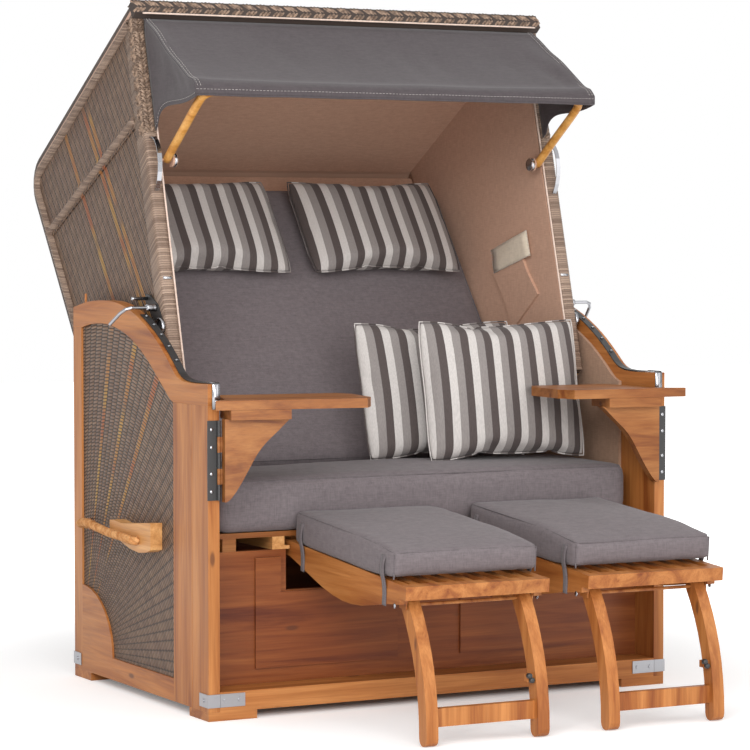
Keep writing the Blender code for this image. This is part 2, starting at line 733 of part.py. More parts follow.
def make_seat_frame(root):
    bm = bmesh.new()
    half = LINING_X - GAP
    rear = BACK_PANEL_FRONT - GAP
    box(bm, (-half, half), (WALL_FRONT, rear), (SEAT_BOTTOM, SEAT_HEIGHT))
    bearers = bmesh.new()
    for word, side in SIDES:
        outer = INNER_X - BEARER_INSET + BEARER_WIDTH / 2
        box(bearers, span(side, outer - BEARER_WIDTH, outer), (WALL_FRONT, rear), (WALL_TOP + GAP, SEAT_BOTTOM + SINK))
    finish("seat_board", bm, WOOD, root, False, bearers, PALE_WOOD)
    batten_low = WALL_TOP + GAP + LEDGE_THICKNESS
    for word, middle in (("left", LEFT_FOOTREST_X), ("right", RIGHT_FOOTREST_X)):
        bm = bmesh.new()
        outer = RUNNER_INNER + RUNNER_WIDTH
        top = SEAT_BOTTOM - GAP
        for side in (-1, 1):
            section = [(LEDGE_INNER, WALL_TOP + GAP), (outer, WALL_TOP + GAP), (outer, top), (RUNNER_INNER, top),
                       (RUNNER_INNER, batten_low), (LEDGE_INNER, batten_low)]
            prism(bm, "Y", [(middle + side * x, z) for x, z in section], WALL_FRONT, RUNNER_REAR)
        box(bm, (middle - outer, middle + outer), (RUNNER_REAR - SINK, RUNNER_REAR + RUNNER_WIDTH),
            (WALL_TOP + GAP, top))
        finish(word + "_footrest_runners", bm, PALE_WOOD, root)


def make_base_fittings(root):
    """The strip with studs on the sloped edge, which runs down over the front post's top."""
    for word, side in SIDES:
        end = -HALF_DEPTH + BASE_DEPTH * RACK_LAST_SHARE
        line = [Vector(p) for p in ARCH_UPPER if p[0] <= end]
        x = span(side, INNER_X, INNER_X + RACK_WIDTH)
        lift = GAP * 6 + RACK_THICKNESS / 2
        corner = Vector((-HALF_DEPTH - GAP - RACK_THICKNESS / 2, line[0].y + lift))
        path = [Vector((corner.x, POST_TOP - STRAP_DROP)), corner, *[p + Vector((0, lift)) for p in line[1:]]]
        bm = bmesh.new()
        ribbon(bm, "X", path, RACK_THICKNESS, *x)
        studs = bmesh.new()
        first = -HALF_DEPTH + BASE_DEPTH * RACK_FIRST_SHARE
        for i in range(RACK_STUDS):
            y = first + (end - first) * (i + 0.5) / RACK_STUDS
            base = arch_height(y) + lift
            disc(studs, "Z", sum(x) / 2, y, STUD_RADIUS, base + SINK, base + RACK_THICKNESS + STUD_HEIGHT, 0, STUD_SIDES)
        finish(word + "_rack_strip", bm, BLACK_METAL, root, False, studs, CHROME)


def make_handles(root):
    face = HALF_WIDTH - WEAVE_INSET
    for word, side in SIDES:
        bm = bmesh.new()
        length = GRIP_REAR - GRIP_FRONT
        edge = [*GRIP_TOP_SHARES, *GRIP_BOTTOM_SHARES]
        outline = [(GRIP_FRONT + length * a, GRIP_BOTTOM + GRIP_HEIGHT * b) for a, b in edge]
        prism(bm, "X", outline, *span(side, face + GAP, face + GAP + GRIP_DEPTH))
        finish(word + "_handle_grip", bm, PALE_WOOD, root)
        shift = face - ROPE_WALL
        route = spline([(side * (shift + x), y, z) for x, y, z in ROPE_POINTS], ROPE_STEPS)
        curve = bpy.data.curves.new(word + "_handle_rope", "CURVE")
        curve.dimensions = "3D"
        curve.bevel_depth = ROPE_RADIUS
        curve.bevel_resolution = 2
        curve.use_fill_caps = True
        line = curve.splines.new("POLY")
        line.points.add(len(route) - 1)
        for point, place in zip(line.points, route):
            point.co = (*place, 1)
        curve.materials.append(ROPE)
        made = bpy.data.objects.new(word + "_handle_rope", curve)
        bpy.context.scene.collection.objects.link(made)
        made.parent = root


def roof_w(u):
    """Height of the roof's outer face at a depth u."""
    return HOOD_TOP + (u - (HOOD_BACK_FACE - KNEE_RADIUS)) * math.tan(math.radians(ROOF_FALL))


def front_edge_u(w):
    """Depth of the hood's front edge at a height w."""
    return HOOD_FRONT_U + (roof_w(HOOD_FRONT_U) - w) * math.tan(math.radians(FRONT_EDGE_SLOPE))


def knee_arc(inset):
    """The rounded corner between the roof and the back, drawn in by an inset."""
    centre = (HOOD_BACK_FACE - KNEE_RADIUS, HOOD_TOP - KNEE_RADIUS)
    radius = KNEE_RADIUS - inset
    start = math.pi / 2 + math.radians(ROOF_FALL)
    turns = [start * (1 - i / KNEE_STEPS) for i in range(KNEE_STEPS + 1)]
    return [(centre[0] + radius * math.cos(a), centre[1] + radius * math.sin(a)) for a in turns]


def make_hood_sides(hood):
    """Each side wall with the wrapped band of its front post, its diagonal band, its rolled edge and its bow."""
    steep = math.cos(math.radians(ROOF_FALL))
    lean = math.cos(math.radians(FRONT_EDGE_SLOPE))
    under = ROOF_THICKNESS + GAP
    rear = HOOD_BACK_FACE - BACK_SKIN - GAP
    top = (HOOD_FRONT_U, roof_w(HOOD_FRONT_U) - under / steep)
    knee = [(min(u, rear), w) for u, w in knee_arc(under)]
    low = HOOD_BOTTOM
    wide = POST_BAND / lean
    half = DIAGONAL_WIDTH / 2
    for word, side in SIDES:
        bm = bmesh.new()
        prism(bm, "X", [(front_edge_u(low), low), (rear, low), *knee[::-1], top], *span(side, HOOD_INNER, HOOD_HALF))
        proud = span(side, HOOD_HALF - SINK, HOOD_HALF + BAND_PROUD)
        band = [(front_edge_u(low), low), (front_edge_u(low) + wide, low), (top[0] + wide, top[1]), top]
        prism(bm, "X", band, *proud)
        high_w = low + (HOOD_TOP - low) * DIAGONAL_HIGH_SHARE
        low_w = low + (HOOD_TOP - low) * DIAGONAL_LOW_SHARE
        start = front_edge_u(high_w) + wide - SINK
        end = rear - EDGE_ROLL_RADIUS
        band = [(start, high_w - half), (end, low_w - half), (end, low_w + half), (start - half / 2, high_w + half)]
        prism(bm, "X", band, *proud)
        inset = under + EDGE_ROLL_RADIUS
        line = [(HOOD_FRONT_U + BRAID_DEPTH, roof_w(HOOD_FRONT_U + BRAID_DEPTH) - inset / steep)]
        line += knee_arc(inset)
        line += [(HOOD_BACK_FACE - inset, HOOD_BOTTOM + BACK_CUSHION_TOP / 2)]
        roll = bmesh.new()
        tube(roll, [(side * HOOD_HALF, u, w) for u, w in line], EDGE_ROLL_RADIUS, 8)
        merge(bm, roll)
        bow = bmesh.new()
        turns = [math.pi * i / FORM_CELLS for i in range(FORM_CELLS + 1)]
        arc = []
        for a in turns:
            w = BOW_W - BOW_HALF * math.cos(a)
            arc.append((front_edge_u(w) + SINK - BOW_BULGE * math.sin(a), w))
        x = HOOD_HALF - BOW_INSET
        ribbon(bow, "X", arc, RING_STRAP, *span(side, x, x + RING_WIDTH))
        finish("hood_" + word + "_side", bm, WEAVE, hood, False, bow, CHROME)


def merge(bm, other):
    """Adds another set of shapes to these."""
    mesh = bpy.data.meshes.new("shapes")
    other.to_mesh(mesh)
    other.free()
    bm.from_mesh(mesh)
    bpy.data.meshes.remove(mesh)


def make_hood_shell(hood):
    steep = math.cos(math.radians(ROOF_FALL))
    outer = knee_arc(0)
    inner = knee_arc(ROOF_THICKNESS)
    bm = bmesh.new()
    outline = [(HOOD_FRONT_U, roof_w(HOOD_FRONT_U)), *outer, *inner[::-1],
               (HOOD_FRONT_U, roof_w(HOOD_FRONT_U) - ROOF_THICKNESS / steep)]
    prism(bm, "X", outline, -HOOD_HALF, HOOD_HALF)
    finish("hood_roof", bm, WEAVE, hood)
    board_rear = BACK_BOARD_FACE + BACK_BOARD_THICKNESS
    inside = HOOD_INNER - GAP
    top = outer[-1][1] - GAP
    skin_face = HOOD_BACK_FACE - BACK_SKIN
    bm = bmesh.new()
    box(bm, (-HOOD_HALF, HOOD_HALF), (skin_face, HOOD_BACK_FACE), (BACK_SKIN_FOOT, top))
    battens = bmesh.new()
    batten = (board_rear + GAP, skin_face + SINK)
    low = BACK_SKIN_FOOT + SINK
    high = top - KNEE_RADIUS / 2
    for x in (-inside + BATTEN_WIDTH / 2, 0, inside - BATTEN_WIDTH / 2):
        box(battens, (x - BATTEN_WIDTH / 2, x + BATTEN_WIDTH / 2), batten, (low, high))
    for word, side in SIDES:
        for level in (low + BATTEN_WIDTH, (low + high) / 2, high - BATTEN_WIDTH * 2):
            box(battens, span(side, BATTEN_WIDTH / 2 - SINK, inside - BATTEN_WIDTH + SINK),
                (batten[0] + SINK, batten[1]), (level, level + BATTEN_WIDTH))
    finish("hood_back", bm, WEAVE, hood, False, battens, PALE_WOOD)
    bm = bmesh.new()
    board_top = roof_w(board_rear) - (ROOF_THICKNESS + HOOD_LINING + GAP * 2) / steep - KNEE_RADIUS / 5
    box(bm, (-inside, inside), (BACK_BOARD_FACE, board_rear), (BACK_BOARD_FOOT, board_top))
    finish("backrest_board", bm, LINING, hood)
    make_hood_lining(hood, inside)
    bm = bmesh.new()
    top = roof_w(HOOD_FRONT_U)
    front = HOOD_FRONT_U - GAP
    reach = HOOD_HALF + BAND_PROUD
    box(bm, (-reach, reach), (front - BRAID_DEPTH, front), (top - BRAID_HEIGHT, top + BRAID_HEIGHT / 8))
    finish("hood_front_braid", bm, WEAVE, hood)


def make_hood_lining(hood, inside):
    """The cloth-covered skin of the roof and the sides, with the pocket and the awning's two bolts."""
    steep = math.cos(math.radians(ROOF_FALL))
    front = HOOD_FRONT_U + BRAID_DEPTH / 2
    rear = BACK_BOARD_FACE - LINING_REAR_CLEAR
    drop = (ROOF_THICKNESS + GAP) / steep
    deep = drop + HOOD_LINING / steep
    bm = bmesh.new()
    outline = [(u, roof_w(u) - d) for u, d in ((front, drop), (rear, drop), (rear, deep), (front, deep))]
    prism(bm, "X", outline, -inside, inside)
    for word, side in SIDES:
        high = roof_w(front) - deep + SINK
        outline = [(front_edge_u(HOOD_BOTTOM), HOOD_BOTTOM), (rear - SINK, HOOD_BOTTOM),
                   (rear - SINK, roof_w(rear) - deep + SINK), (front_edge_u(high), high)]
        prism(bm, "X", outline, *span(side, HOOD_LINING_X, HOOD_INNER - GAP))
    pocket = [(POCKET_U + POCKET_WIDTH * (a - 0.5), POCKET_W + POCKET_HEIGHT * b) for a, b in POCKET_SHARES]
    prism(bm, "X", pocket, HOOD_LINING_X - POCKET_DEPTH, HOOD_LINING_X + SINK)
    bolts = bmesh.new()
    for word, side in SIDES:
        inner = side * (AWNING_ARM_X - AWNING_ARM_WIDTH / 2 - GAP * 2)
        disc(bolts, "X", AWNING_PIVOT_U, AWNING_PIVOT_W, TILT_PIN, side * (HOOD_LINING_X + SINK), inner - side * SINK)
        disc(bolts, "X", AWNING_PIVOT_U, AWNING_PIVOT_W, AWNING_KNOB_RADIUS, inner, inner - side * AWNING_KNOB_DEPTH)
    finish("hood_lining", bm, LINING, hood, False, bolts, CHROME)


def make_hood_fittings(hood):
    """On each side the arm down to the pivot, and the plate with the lock's barrel, a stop pin and a ring."""
    arc = [-math.pi * i / FORM_CELLS for i in range(FORM_CELLS + 1)]
    foot = [(ARM_HALF_WIDTH * math.cos(a), ARM_HALF_WIDTH * math.sin(a)) for a in arc]
    outline = [*foot, (-ARM_HALF_WIDTH, ARM_TOP), (ARM_HALF_WIDTH, ARM_TOP)]
    plate_face = HOOD_HALF + BAND_PROUD + GAP
    barrel_start = plate_face + LOCK_PLATE
    turns = [math.tau * i / 16 for i in range(16)]
    ring_w = LOCK_W - LOCK_BACK
    centre = (front_edge_u(ring_w) + RING_RADIUS, ring_w)
    ring = [circle(*centre, radius, 16) for radius in (RING_RADIUS, RING_RADIUS - RING_STRAP)]
    plate = [(LOCK_U - PLATE_MARGIN, LOCK_W - LOCK_BACK), (LOCK_U + PLATE_MARGIN, LOCK_W - LOCK_BACK),
             (STOP_PIN_U + PLATE_MARGIN, STOP_PIN_W), (STOP_PIN_U, STOP_PIN_W + PLATE_MARGIN),
             (STOP_PIN_U - PLATE_MARGIN, STOP_PIN_W), (LOCK_U - PLATE_MARGIN, LOCK_W)]
    for word, side in SIDES:
        bm = bmesh.new()
        hole = circle(0, 0, PIVOT_PIN + BORE_CLEARANCE)
        prism(bm, "X", outline, *span(side, HOOD_HALF + GAP, HOOD_HALF + GAP + ARM_THICKNESS), (hole,))
        finish(word + "_pivot_arm", bm, BLACK_METAL, hood)
        bm = bmesh.new()
        hole = circle(LOCK_U, LOCK_W, LOCK_ROD + BORE_CLEARANCE)
        prism(bm, "X", plate, *span(side, plate_face, barrel_start), (hole,))
        steel = bmesh.new()
        disc(steel, "X", LOCK_U, LOCK_W, BARREL_RADIUS, side * (barrel_start - SINK),
             side * (barrel_start + BARREL_LENGTH), LOCK_ROD + BORE_CLEARANCE)
        disc(steel, "X", STOP_PIN_U, STOP_PIN_W, STOP_PIN_RADIUS, side * (barrel_start - SINK),
             side * (barrel_start + STOP_PIN_LENGTH))
        prism(steel, "X", ring[0], *span(side, barrel_start - SINK, LINING_X - GAP * 3), (ring[1],))
        finish(word + "_lock_plate", bm, BLACK_METAL, hood, False, steel, CHROME)
        lever = pivot_empty(word + "_lock_pivot", (0, LOCK_U, LOCK_W), (HOOD_RECLINE, 0, 0), hood)
        x = barrel_start
        out = x + LOCK_REACH
        points = [(x, 0, 0), (out - LOCK_BEND, 0, 0), (out - LOCK_BEND / 4, LOCK_BACK / 12, -LOCK_DROP / 12),
                  (out + LOCK_BEND / 3, LOCK_BACK / 3, -LOCK_DROP / 3), (out + LOCK_BEND, LOCK_BACK, -LOCK_DROP)]
        bm = bmesh.new()
        tube(bm, [(side * px, py, pz) for px, py, pz in points], LOCK_ROD, 10)
        finish(word + "_lock_lever", bm, CHROME, lever, True)


def make_awning(hood):
    pivot = pivot_empty("awning_pivot", (0, AWNING_PIVOT_U, AWNING_PIVOT_W), (0, 0, 0), hood)
    bm = bmesh.new()
    bar = Vector((AWNING_BAR_U, AWNING_BAR_W))
    along = bar.normalized()
    across = Vector((-along.y, along.x)) * AWNING_ARM_DEPTH / 2
    end = Vector(bar)
    start = -along * AWNING_ARM_DEPTH / 2
    for word, side in SIDES:
        outline = [tuple(p) for p in (start + across, start - across, end - across, end + across)]
        hole = circle(0, 0, TILT_PIN + BORE_CLEARANCE)
        inner = AWNING_ARM_X - AWNING_ARM_WIDTH / 2
        prism(bm, "X", outline, *span(side, inner, inner + AWNING_ARM_WIDTH), (hole,))
    reach = AWNING_ARM_X + AWNING_ARM_WIDTH / 2
    disc(bm, "X", bar.x, bar.y, AWNING_BAR_RADIUS, -reach, reach)
    finish("awning_bow", bm, PALE_WOOD, pivot)
    make_canopy(hood)


def make_canopy(hood):
    """A top sheet from the roof's edge to the bar, and a gusset at each end."""
    front = front_edge_u(CANOPY_EDGE_W) - BRAID_DEPTH - CANOPY_FRONT_CLEAR
    edge = Vector((front, CANOPY_EDGE_W))
    lift = AWNING_BAR_RADIUS + CANOPY_THICKNESS
    bar = Vector((AWNING_PIVOT_U + AWNING_BAR_U, AWNING_PIVOT_W + AWNING_BAR_W))
    hem = bar + Vector((-lift, 0))
    run = hem - edge
    up = Vector((run.y, -run.x)).normalized()
    if up.y < 0:
        up = -up
    bm = bmesh.new()
    sheets = []
    for layer in (0, 1):
        rows = []
        for i in range(CANOPY_ALONG + 1):
            t = i / CANOPY_ALONG
            row = []
            for k in range(CANOPY_ACROSS + 1):
                s = 2 * k / CANOPY_ACROSS - 1
                sag = CANOPY_SAG * math.sin(math.pi * t) * (1 - s ** 4)
                wave = CANOPY_RIPPLE * math.sin(math.pi * t) * math.cos(math.pi * CANOPY_RIPPLES * s)
                point = edge + run * t + up * (CANOPY_THICKNESS * layer + wave - sag)
                row.append(bm.verts.new((CANOPY_HALF_WIDTH * s, *point)))
            rows.append(row)
        low = [bm.verts.new((v.co.x, v.co.y - CANOPY_THICKNESS * layer / 2, v.co.z - CANOPY_HEM))
               for v in rows[-1]]
        rows.append(low)
        sheets.append(rows)
    for rows in sheets:
        for first, second in zip(rows, rows[1:]):
            for k in range(CANOPY_ACROSS):
                bm.faces.new((first[k], first[k + 1], second[k + 1], second[k]))
    lower, upper = sheets
    rim = [rows_of(lower), rows_of(upper)]
    for i in range(len(rim[0])):
        j = (i + 1) % len(rim[0])
        bm.faces.new((rim[0][i], rim[0][j], rim[1][j], rim[1][i]))
    wall_w = AWNING_PIVOT_W + BOW_HALF
    wall = Vector((front_edge_u(wall_w) - BRAID_DEPTH - CANOPY_FRONT_CLEAR, wall_w))
    lowest = [edge + Vector((a * run.x, b * run.y)) for a, b in GUSSET_LOW_SHARES[::-1]]
    clear = up * (CANOPY_SAG * 0 + GAP * 2)
    top = [edge - clear, hem - clear + Vector((CANOPY_THICKNESS, 0))]
    low = hem + Vector((CANOPY_THICKNESS, -CANOPY_HEM))
    outline = [tuple(p) for p in (*top, low, *lowest[1:-1], wall)]
    for word, side in SIDES:
        inner = CANOPY_HALF_WIDTH - CANOPY_THICKNESS
        prism(bm, "X", outline, *span(side, inner, inner + CANOPY_THICKNESS))
    finish("awning_canopy", bm, AWNING_CLOTH, hood, True)


def rows_of(rows):
    """The rim of a grid of vertices, in order."""
    first = rows[0]
    last = rows[-1]
    right = [row[-1] for row in rows[1:-1]]
    left = [row[0] for row in rows[1:-1]]
    return [*first, *right, *last[::-1], *left[::-1]]


def make_hood_cushions(hood):
    bm = bmesh.new()
    half = BACK_CUSHION_WIDTH / 2
    cushion(bm, (-half, BACK_CUSHION_FACE - CUSHION_CROWN, BACK_CUSHION_FOOT),
            (half, BACK_BOARD_FACE - GAP, BACK_CUSHION_TOP), 1)
    finish("back_cushion", bm, GREY_CLOTH, hood, True)
    for word, x in (("left", HEADREST_LEFT_X), ("right", HEADREST_RIGHT_X)):
        middle = HEADREST_LOW + HEADREST_LENGTH / 2
        face = BACK_CUSHION_FACE - CUSHION_CROWN - HEADREST_HALF + HEADREST_SETTLE
        place = Matrix.Translation((x, face, middle)) @ Matrix.Rotation(math.pi / 2, 4, "X")
        bm = bmesh.new()
        pillow(bm, place, HEADREST_WIDTH, HEADREST_LENGTH, HEADREST_HALF)
        finish(word + "_headrest", bm, STRIPED_CLOTH, hood, True)


def make_seat_cushions(root):
    bm = bmesh.new()
    half = SEAT_CUSHION_WIDTH / 2
    low = SEAT_HEIGHT + GAP
    cushion(bm, (-half, SEAT_CUSHION_FRONT, low), (half, SEAT_CUSHION_REAR, low + SEAT_CUSHION_HEIGHT + CUSHION_CROWN), 2)
    flatten_below(bm, low + CUSHION_CROWN)
    shift_down(bm, CUSHION_CROWN)
    finish("seat_cushion", bm, GREY_CLOTH, root, True)
    seat_top = low + SEAT_CUSHION_HEIGHT
    rear = ("rear_throw_pillow", REAR_THROW_X, REAR_THROW_Y, REAR_THROW_LEAN, REAR_THROW_DROP)
    front = ("front_throw_pillow", FRONT_THROW_X, FRONT_THROW_Y, FRONT_THROW_LEAN, FRONT_THROW_DROP)
    for name, x, y, lean, drop in (rear, front):
        bm = bmesh.new()
        turn = Matrix.Rotation(math.radians(90 - lean), 4, "X")
        foot = Matrix.Translation((x, y, seat_top - drop))
        place = foot @ turn @ Matrix.Translation((0, THROW_HEIGHT / 2, 0))
        pillow(bm, place, THROW_WIDTH, THROW_HEIGHT, THROW_HALF)
        finish(name, bm, STRIPED_CLOTH, root, True)


def flatten_below(bm, level):
    """Makes the underside flat, as it lies on a board."""
    for vert in bm.verts:
        vert.co.z = max(vert.co.z, level)


def shift_down(bm, amount):
    for vert in bm.verts:
        vert.co.z -= amount


def make_tables(root):
    knuckle = (HINGE_HIGH - HINGE_LOW) / KNUCKLES
    for word, side in SIDES:
        face = -HALF_DEPTH - GAP
        axis_y = -HALF_DEPTH - HINGE_FORWARD
        bm = bmesh.new()
        box(bm, span(side, HINGE_X, HINGE_X + HINGE_LEAF), (face - HINGE_SHEET, face), (HINGE_LOW, HINGE_HIGH))
        for i in range(0, KNUCKLES, 2):
            start = HINGE_LOW + knuckle * i
            disc(bm, "Z", side * HINGE_X, axis_y, KNUCKLE_RADIUS, start + GAP, start + knuckle - GAP)
            box(bm, span(side, HINGE_X, HINGE_X + KNUCKLE_RADIUS), (axis_y, face - HINGE_SHEET / 2),
                (start + GAP * 2, start + knuckle - GAP * 2))
        finish(word + "_hinge_leaf", bm, BLACK_METAL, root)
    details = (("left", -1, LEFT_TABLE_TURN, LEFT_TABLE_LENGTH, LEFT_TABLE_OVERHANG),
               ("right", 1, RIGHT_TABLE_TURN, RIGHT_TABLE_LENGTH, RIGHT_TABLE_OVERHANG))
    for word, side, turn, length, overhang in details:
        axis = (side * HINGE_X, -HALF_DEPTH - HINGE_FORWARD, 0)
        table = pivot_empty(word + "_table_hinge", axis, (0, 0, turn), root)
        far = TABLE_DEPTH - TABLE_NEAR
        end = length - overhang
        outline = [(-overhang, -TABLE_NEAR), (end - TABLE_CLIP / 2, -TABLE_NEAR), (end, TABLE_CLIP - TABLE_NEAR),
                   (end, far - TABLE_CLIP), (end - TABLE_CLIP / 2, far), (TABLE_FAR_START, far),
                   (KNUCKLE_RADIUS * 4, HINGE_FORWARD), (0, -HINGE_LEAF * 3 / 4)]
        bm = bmesh.new()
        prism(bm, "Z", [(-side * x, y) for x, y in outline], TABLE_BOTTOM + GAP, TABLE_BOTTOM + TABLE_THICKNESS)
        finish(word + "_table_top", bm, WOOD, table)
        make_table_bracket(word, side, table, knuckle)


def make_table_bracket(word, side, table, knuckle):
    """The curved board under a table top, with the cleat on it and the hinge's moving leaf."""
    cleat_low = TABLE_BOTTOM - CLEAT_HEIGHT
    start = KNUCKLE_RADIUS * 4
    bm = bmesh.new()
    box(bm, span(-side, start, CLEAT_LENGTH), (-CLEAT_HALF_DEPTH, CLEAT_HALF_DEPTH), (cleat_low, TABLE_BOTTOM))
    near = KNUCKLE_RADIUS * 2
    height = cleat_low - BRACKET_TIP
    width = BRACKET_REACH - near
    curve = [(near + width * a, BRACKET_TIP + height * b) for a, b in BRACKET_CURVE_SHARES]
    outline = [(near, cleat_low + SINK), (BRACKET_REACH, cleat_low + SINK), *[tuple(p) for p in spline(curve, 2)]]
    prism(bm, "Y", [(-side * x, z) for x, z in outline], HINGE_FORWARD / 2 - BRACKET_BOARD, HINGE_FORWARD / 2)
    leaf = bmesh.new()
    for i in range(1, KNUCKLES, 2):
        low = HINGE_LOW + knuckle * i
        disc(leaf, "Z", 0, 0, KNUCKLE_RADIUS, low + GAP, low + knuckle - GAP)
        box(leaf, span(-side, KNUCKLE_RADIUS / 2, near + SINK), (-HINGE_SHEET / 2, HINGE_SHEET / 2),
            (low + GAP * 2, low + knuckle - GAP * 2))
    finish(word + "_table_bracket", bm, WOOD, table, False, leaf, BLACK_METAL)


def leg_centreline():
    """From the axle to the foot, bowed forward, in the legs' own frame that stands upright."""
    height = axle_place()[1]
    foot = Vector((-LEG_FOOT_FORWARD, -height + LEG_DEPTH / 2))
    control = Vector((-LEG_FOOT_FORWARD, -height * 0.42))
    line = []
    for i in range(LEG_STEPS + 1):
        t = i / LEG_STEPS
        line.append(2 * (1 - t) * t * control + t * t * foot)
    return line


def axle_place():
    """World depth and height of the legs' axle."""
    tilt = math.radians(FOOTREST_TILT)
    y = TILT_Y - AXLE_FORWARD * math.cos(tilt) + AXLE_DROP * math.sin(tilt)
    z = TILT_Z - AXLE_FORWARD * math.sin(tilt) - AXLE_DROP * math.cos(tilt)
    return y, z


def make_footrest(word, middle, root):
    slider = pivot_empty(word + "_footrest_slide", (middle, 0, 0), (0, 0, 0), root)
    bm = bmesh.new()
    half = RUNNER_INNER - SLIDER_SIDE_CLEAR
    low = WALL_TOP + LEDGE_THICKNESS + GAP * 2
    high = SEAT_BOTTOM - GAP * 2
    box(bm, (-half, half), (SLIDER_FRONT, SLIDER_FRONT + SLIDER_DEPTH), (low, high))
    hinges = bmesh.new()
    inner = FRAME_HALF - RAIL_THICKNESS
    plate = inner - GAP * 4
    for side in (-1, 1):
        box(hinges, span(side, plate - AXLE_PLATE, plate), (TILT_Y - RAIL_REAR, SLIDER_FRONT + SINK),
            (TILT_Z - RAIL_UP + SINK, TILT_Z + RAIL_UP - SINK))
        disc(hinges, "X", TILT_Y, TILT_Z, TILT_PIN, side * (plate - SINK), side * FRAME_HALF)
    finish(word + "_footrest_slider", bm, WOOD, slider, False, hinges, BLACK_METAL)
    frame = pivot_empty(word + "_footrest_tilt", (0, TILT_Y, TILT_Z), (FOOTREST_TILT, 0, 0), slider)
    make_footrest_frame(word, frame, inner)
    legs = pivot_empty(word + "_legs_axle", (0, -AXLE_FORWARD, -AXLE_DROP), (-FOOTREST_TILT, 0, 0), frame)
    make_legs(word, legs)
    bm = bmesh.new()
    low = RAIL_UP + GAP - PAD_SETTLE
    cushion(bm, (-PAD_HALF_WIDTH, -PAD_FAR, low), (PAD_HALF_WIDTH, -PAD_NEAR, low + PAD_HEIGHT + CUSHION_CROWN), 2)
    flatten_below(bm, low + CUSHION_CROWN)
    shift_down(bm, CUSHION_CROWN)
    finish(word + "_footrest_pad", bm, GREY_CLOTH, frame, True)


def make_footrest_frame(word, frame, inner):
    bm = bmesh.new()
    for side in (-1, 1):
        outline = [(RAIL_REAR, -RAIL_DOWN), (RAIL_REAR, RAIL_UP), (-FRONT_BOARD_REAR, RAIL_UP),
                   (-FRONT_BOARD_REAR, -RAIL_DOWN)]
        prism(bm, "X", outline, *span(side, inner, FRAME_HALF), (circle(0, 0, TILT_PIN + BORE_CLEARANCE),))
    front = FRONT_BOARD_REAR - SINK
    for side in (-1, 1):
        length = FRONT_BOARD_REAR - APRON_START
        curve = [(-APRON_START - length * a, -RAIL_DOWN - APRON_DROP * b) for a, b in APRON_DROP_SHARES]
        outline = [tuple(p) for p in spline(curve, 2)]
        outline += [(-FRONT_BOARD_REAR, SINK - RAIL_DOWN), (-APRON_START, SINK - RAIL_DOWN)]
        prism(bm, "X", outline, *span(side, inner, FRAME_HALF))
    reach = FRAME_HALF + GAP * 5
    box(bm, (-reach, reach), (-front - FRONT_BOARD_DEPTH, -front), (RAIL_UP - FRONT_BOARD_HEIGHT, RAIL_UP))
    clear = inner + SINK
    slat_low = RAIL_UP - SLAT_DROP - SLAT_THICKNESS
    pitch = 2 * inner / SLATS
    for i in range(SLATS):
        x = -inner + pitch * (i + 0.5)
        box(bm, (x - SLAT_WIDTH / 2, x + SLAT_WIDTH / 2), (-FRONT_BOARD_REAR - SINK, -CROSS_RAIL_DEPTH / 2 - SINK),
            (slat_low, slat_low + SLAT_THICKNESS))
    rail = slat_low + SINK
    for start in (CROSS_RAIL_DEPTH / 2, MID_RAIL_AT, FRONT_BOARD_REAR - CROSS_RAIL_DEPTH):
        box(bm, (-clear, clear), (-start - CROSS_RAIL_DEPTH, -start), (rail - CROSS_RAIL_HEIGHT, rail))
    axle = bmesh.new()
    for side in (-1, 1):
        box(axle, span(side, clear - AXLE_PLATE, clear),
            (-AXLE_FORWARD - AXLE_PLATE_HALF, -AXLE_FORWARD + AXLE_PLATE_HALF),
            (-AXLE_DROP - AXLE_RADIUS * 2, -RAIL_DOWN + AXLE_PLATE))
    shaft = clear - SINK
    disc(axle, "X", -AXLE_FORWARD, -AXLE_DROP, AXLE_RADIUS, -shaft, shaft)
    finish(word + "_footrest_frame", bm, WOOD, frame, False, axle, BLACK_METAL)


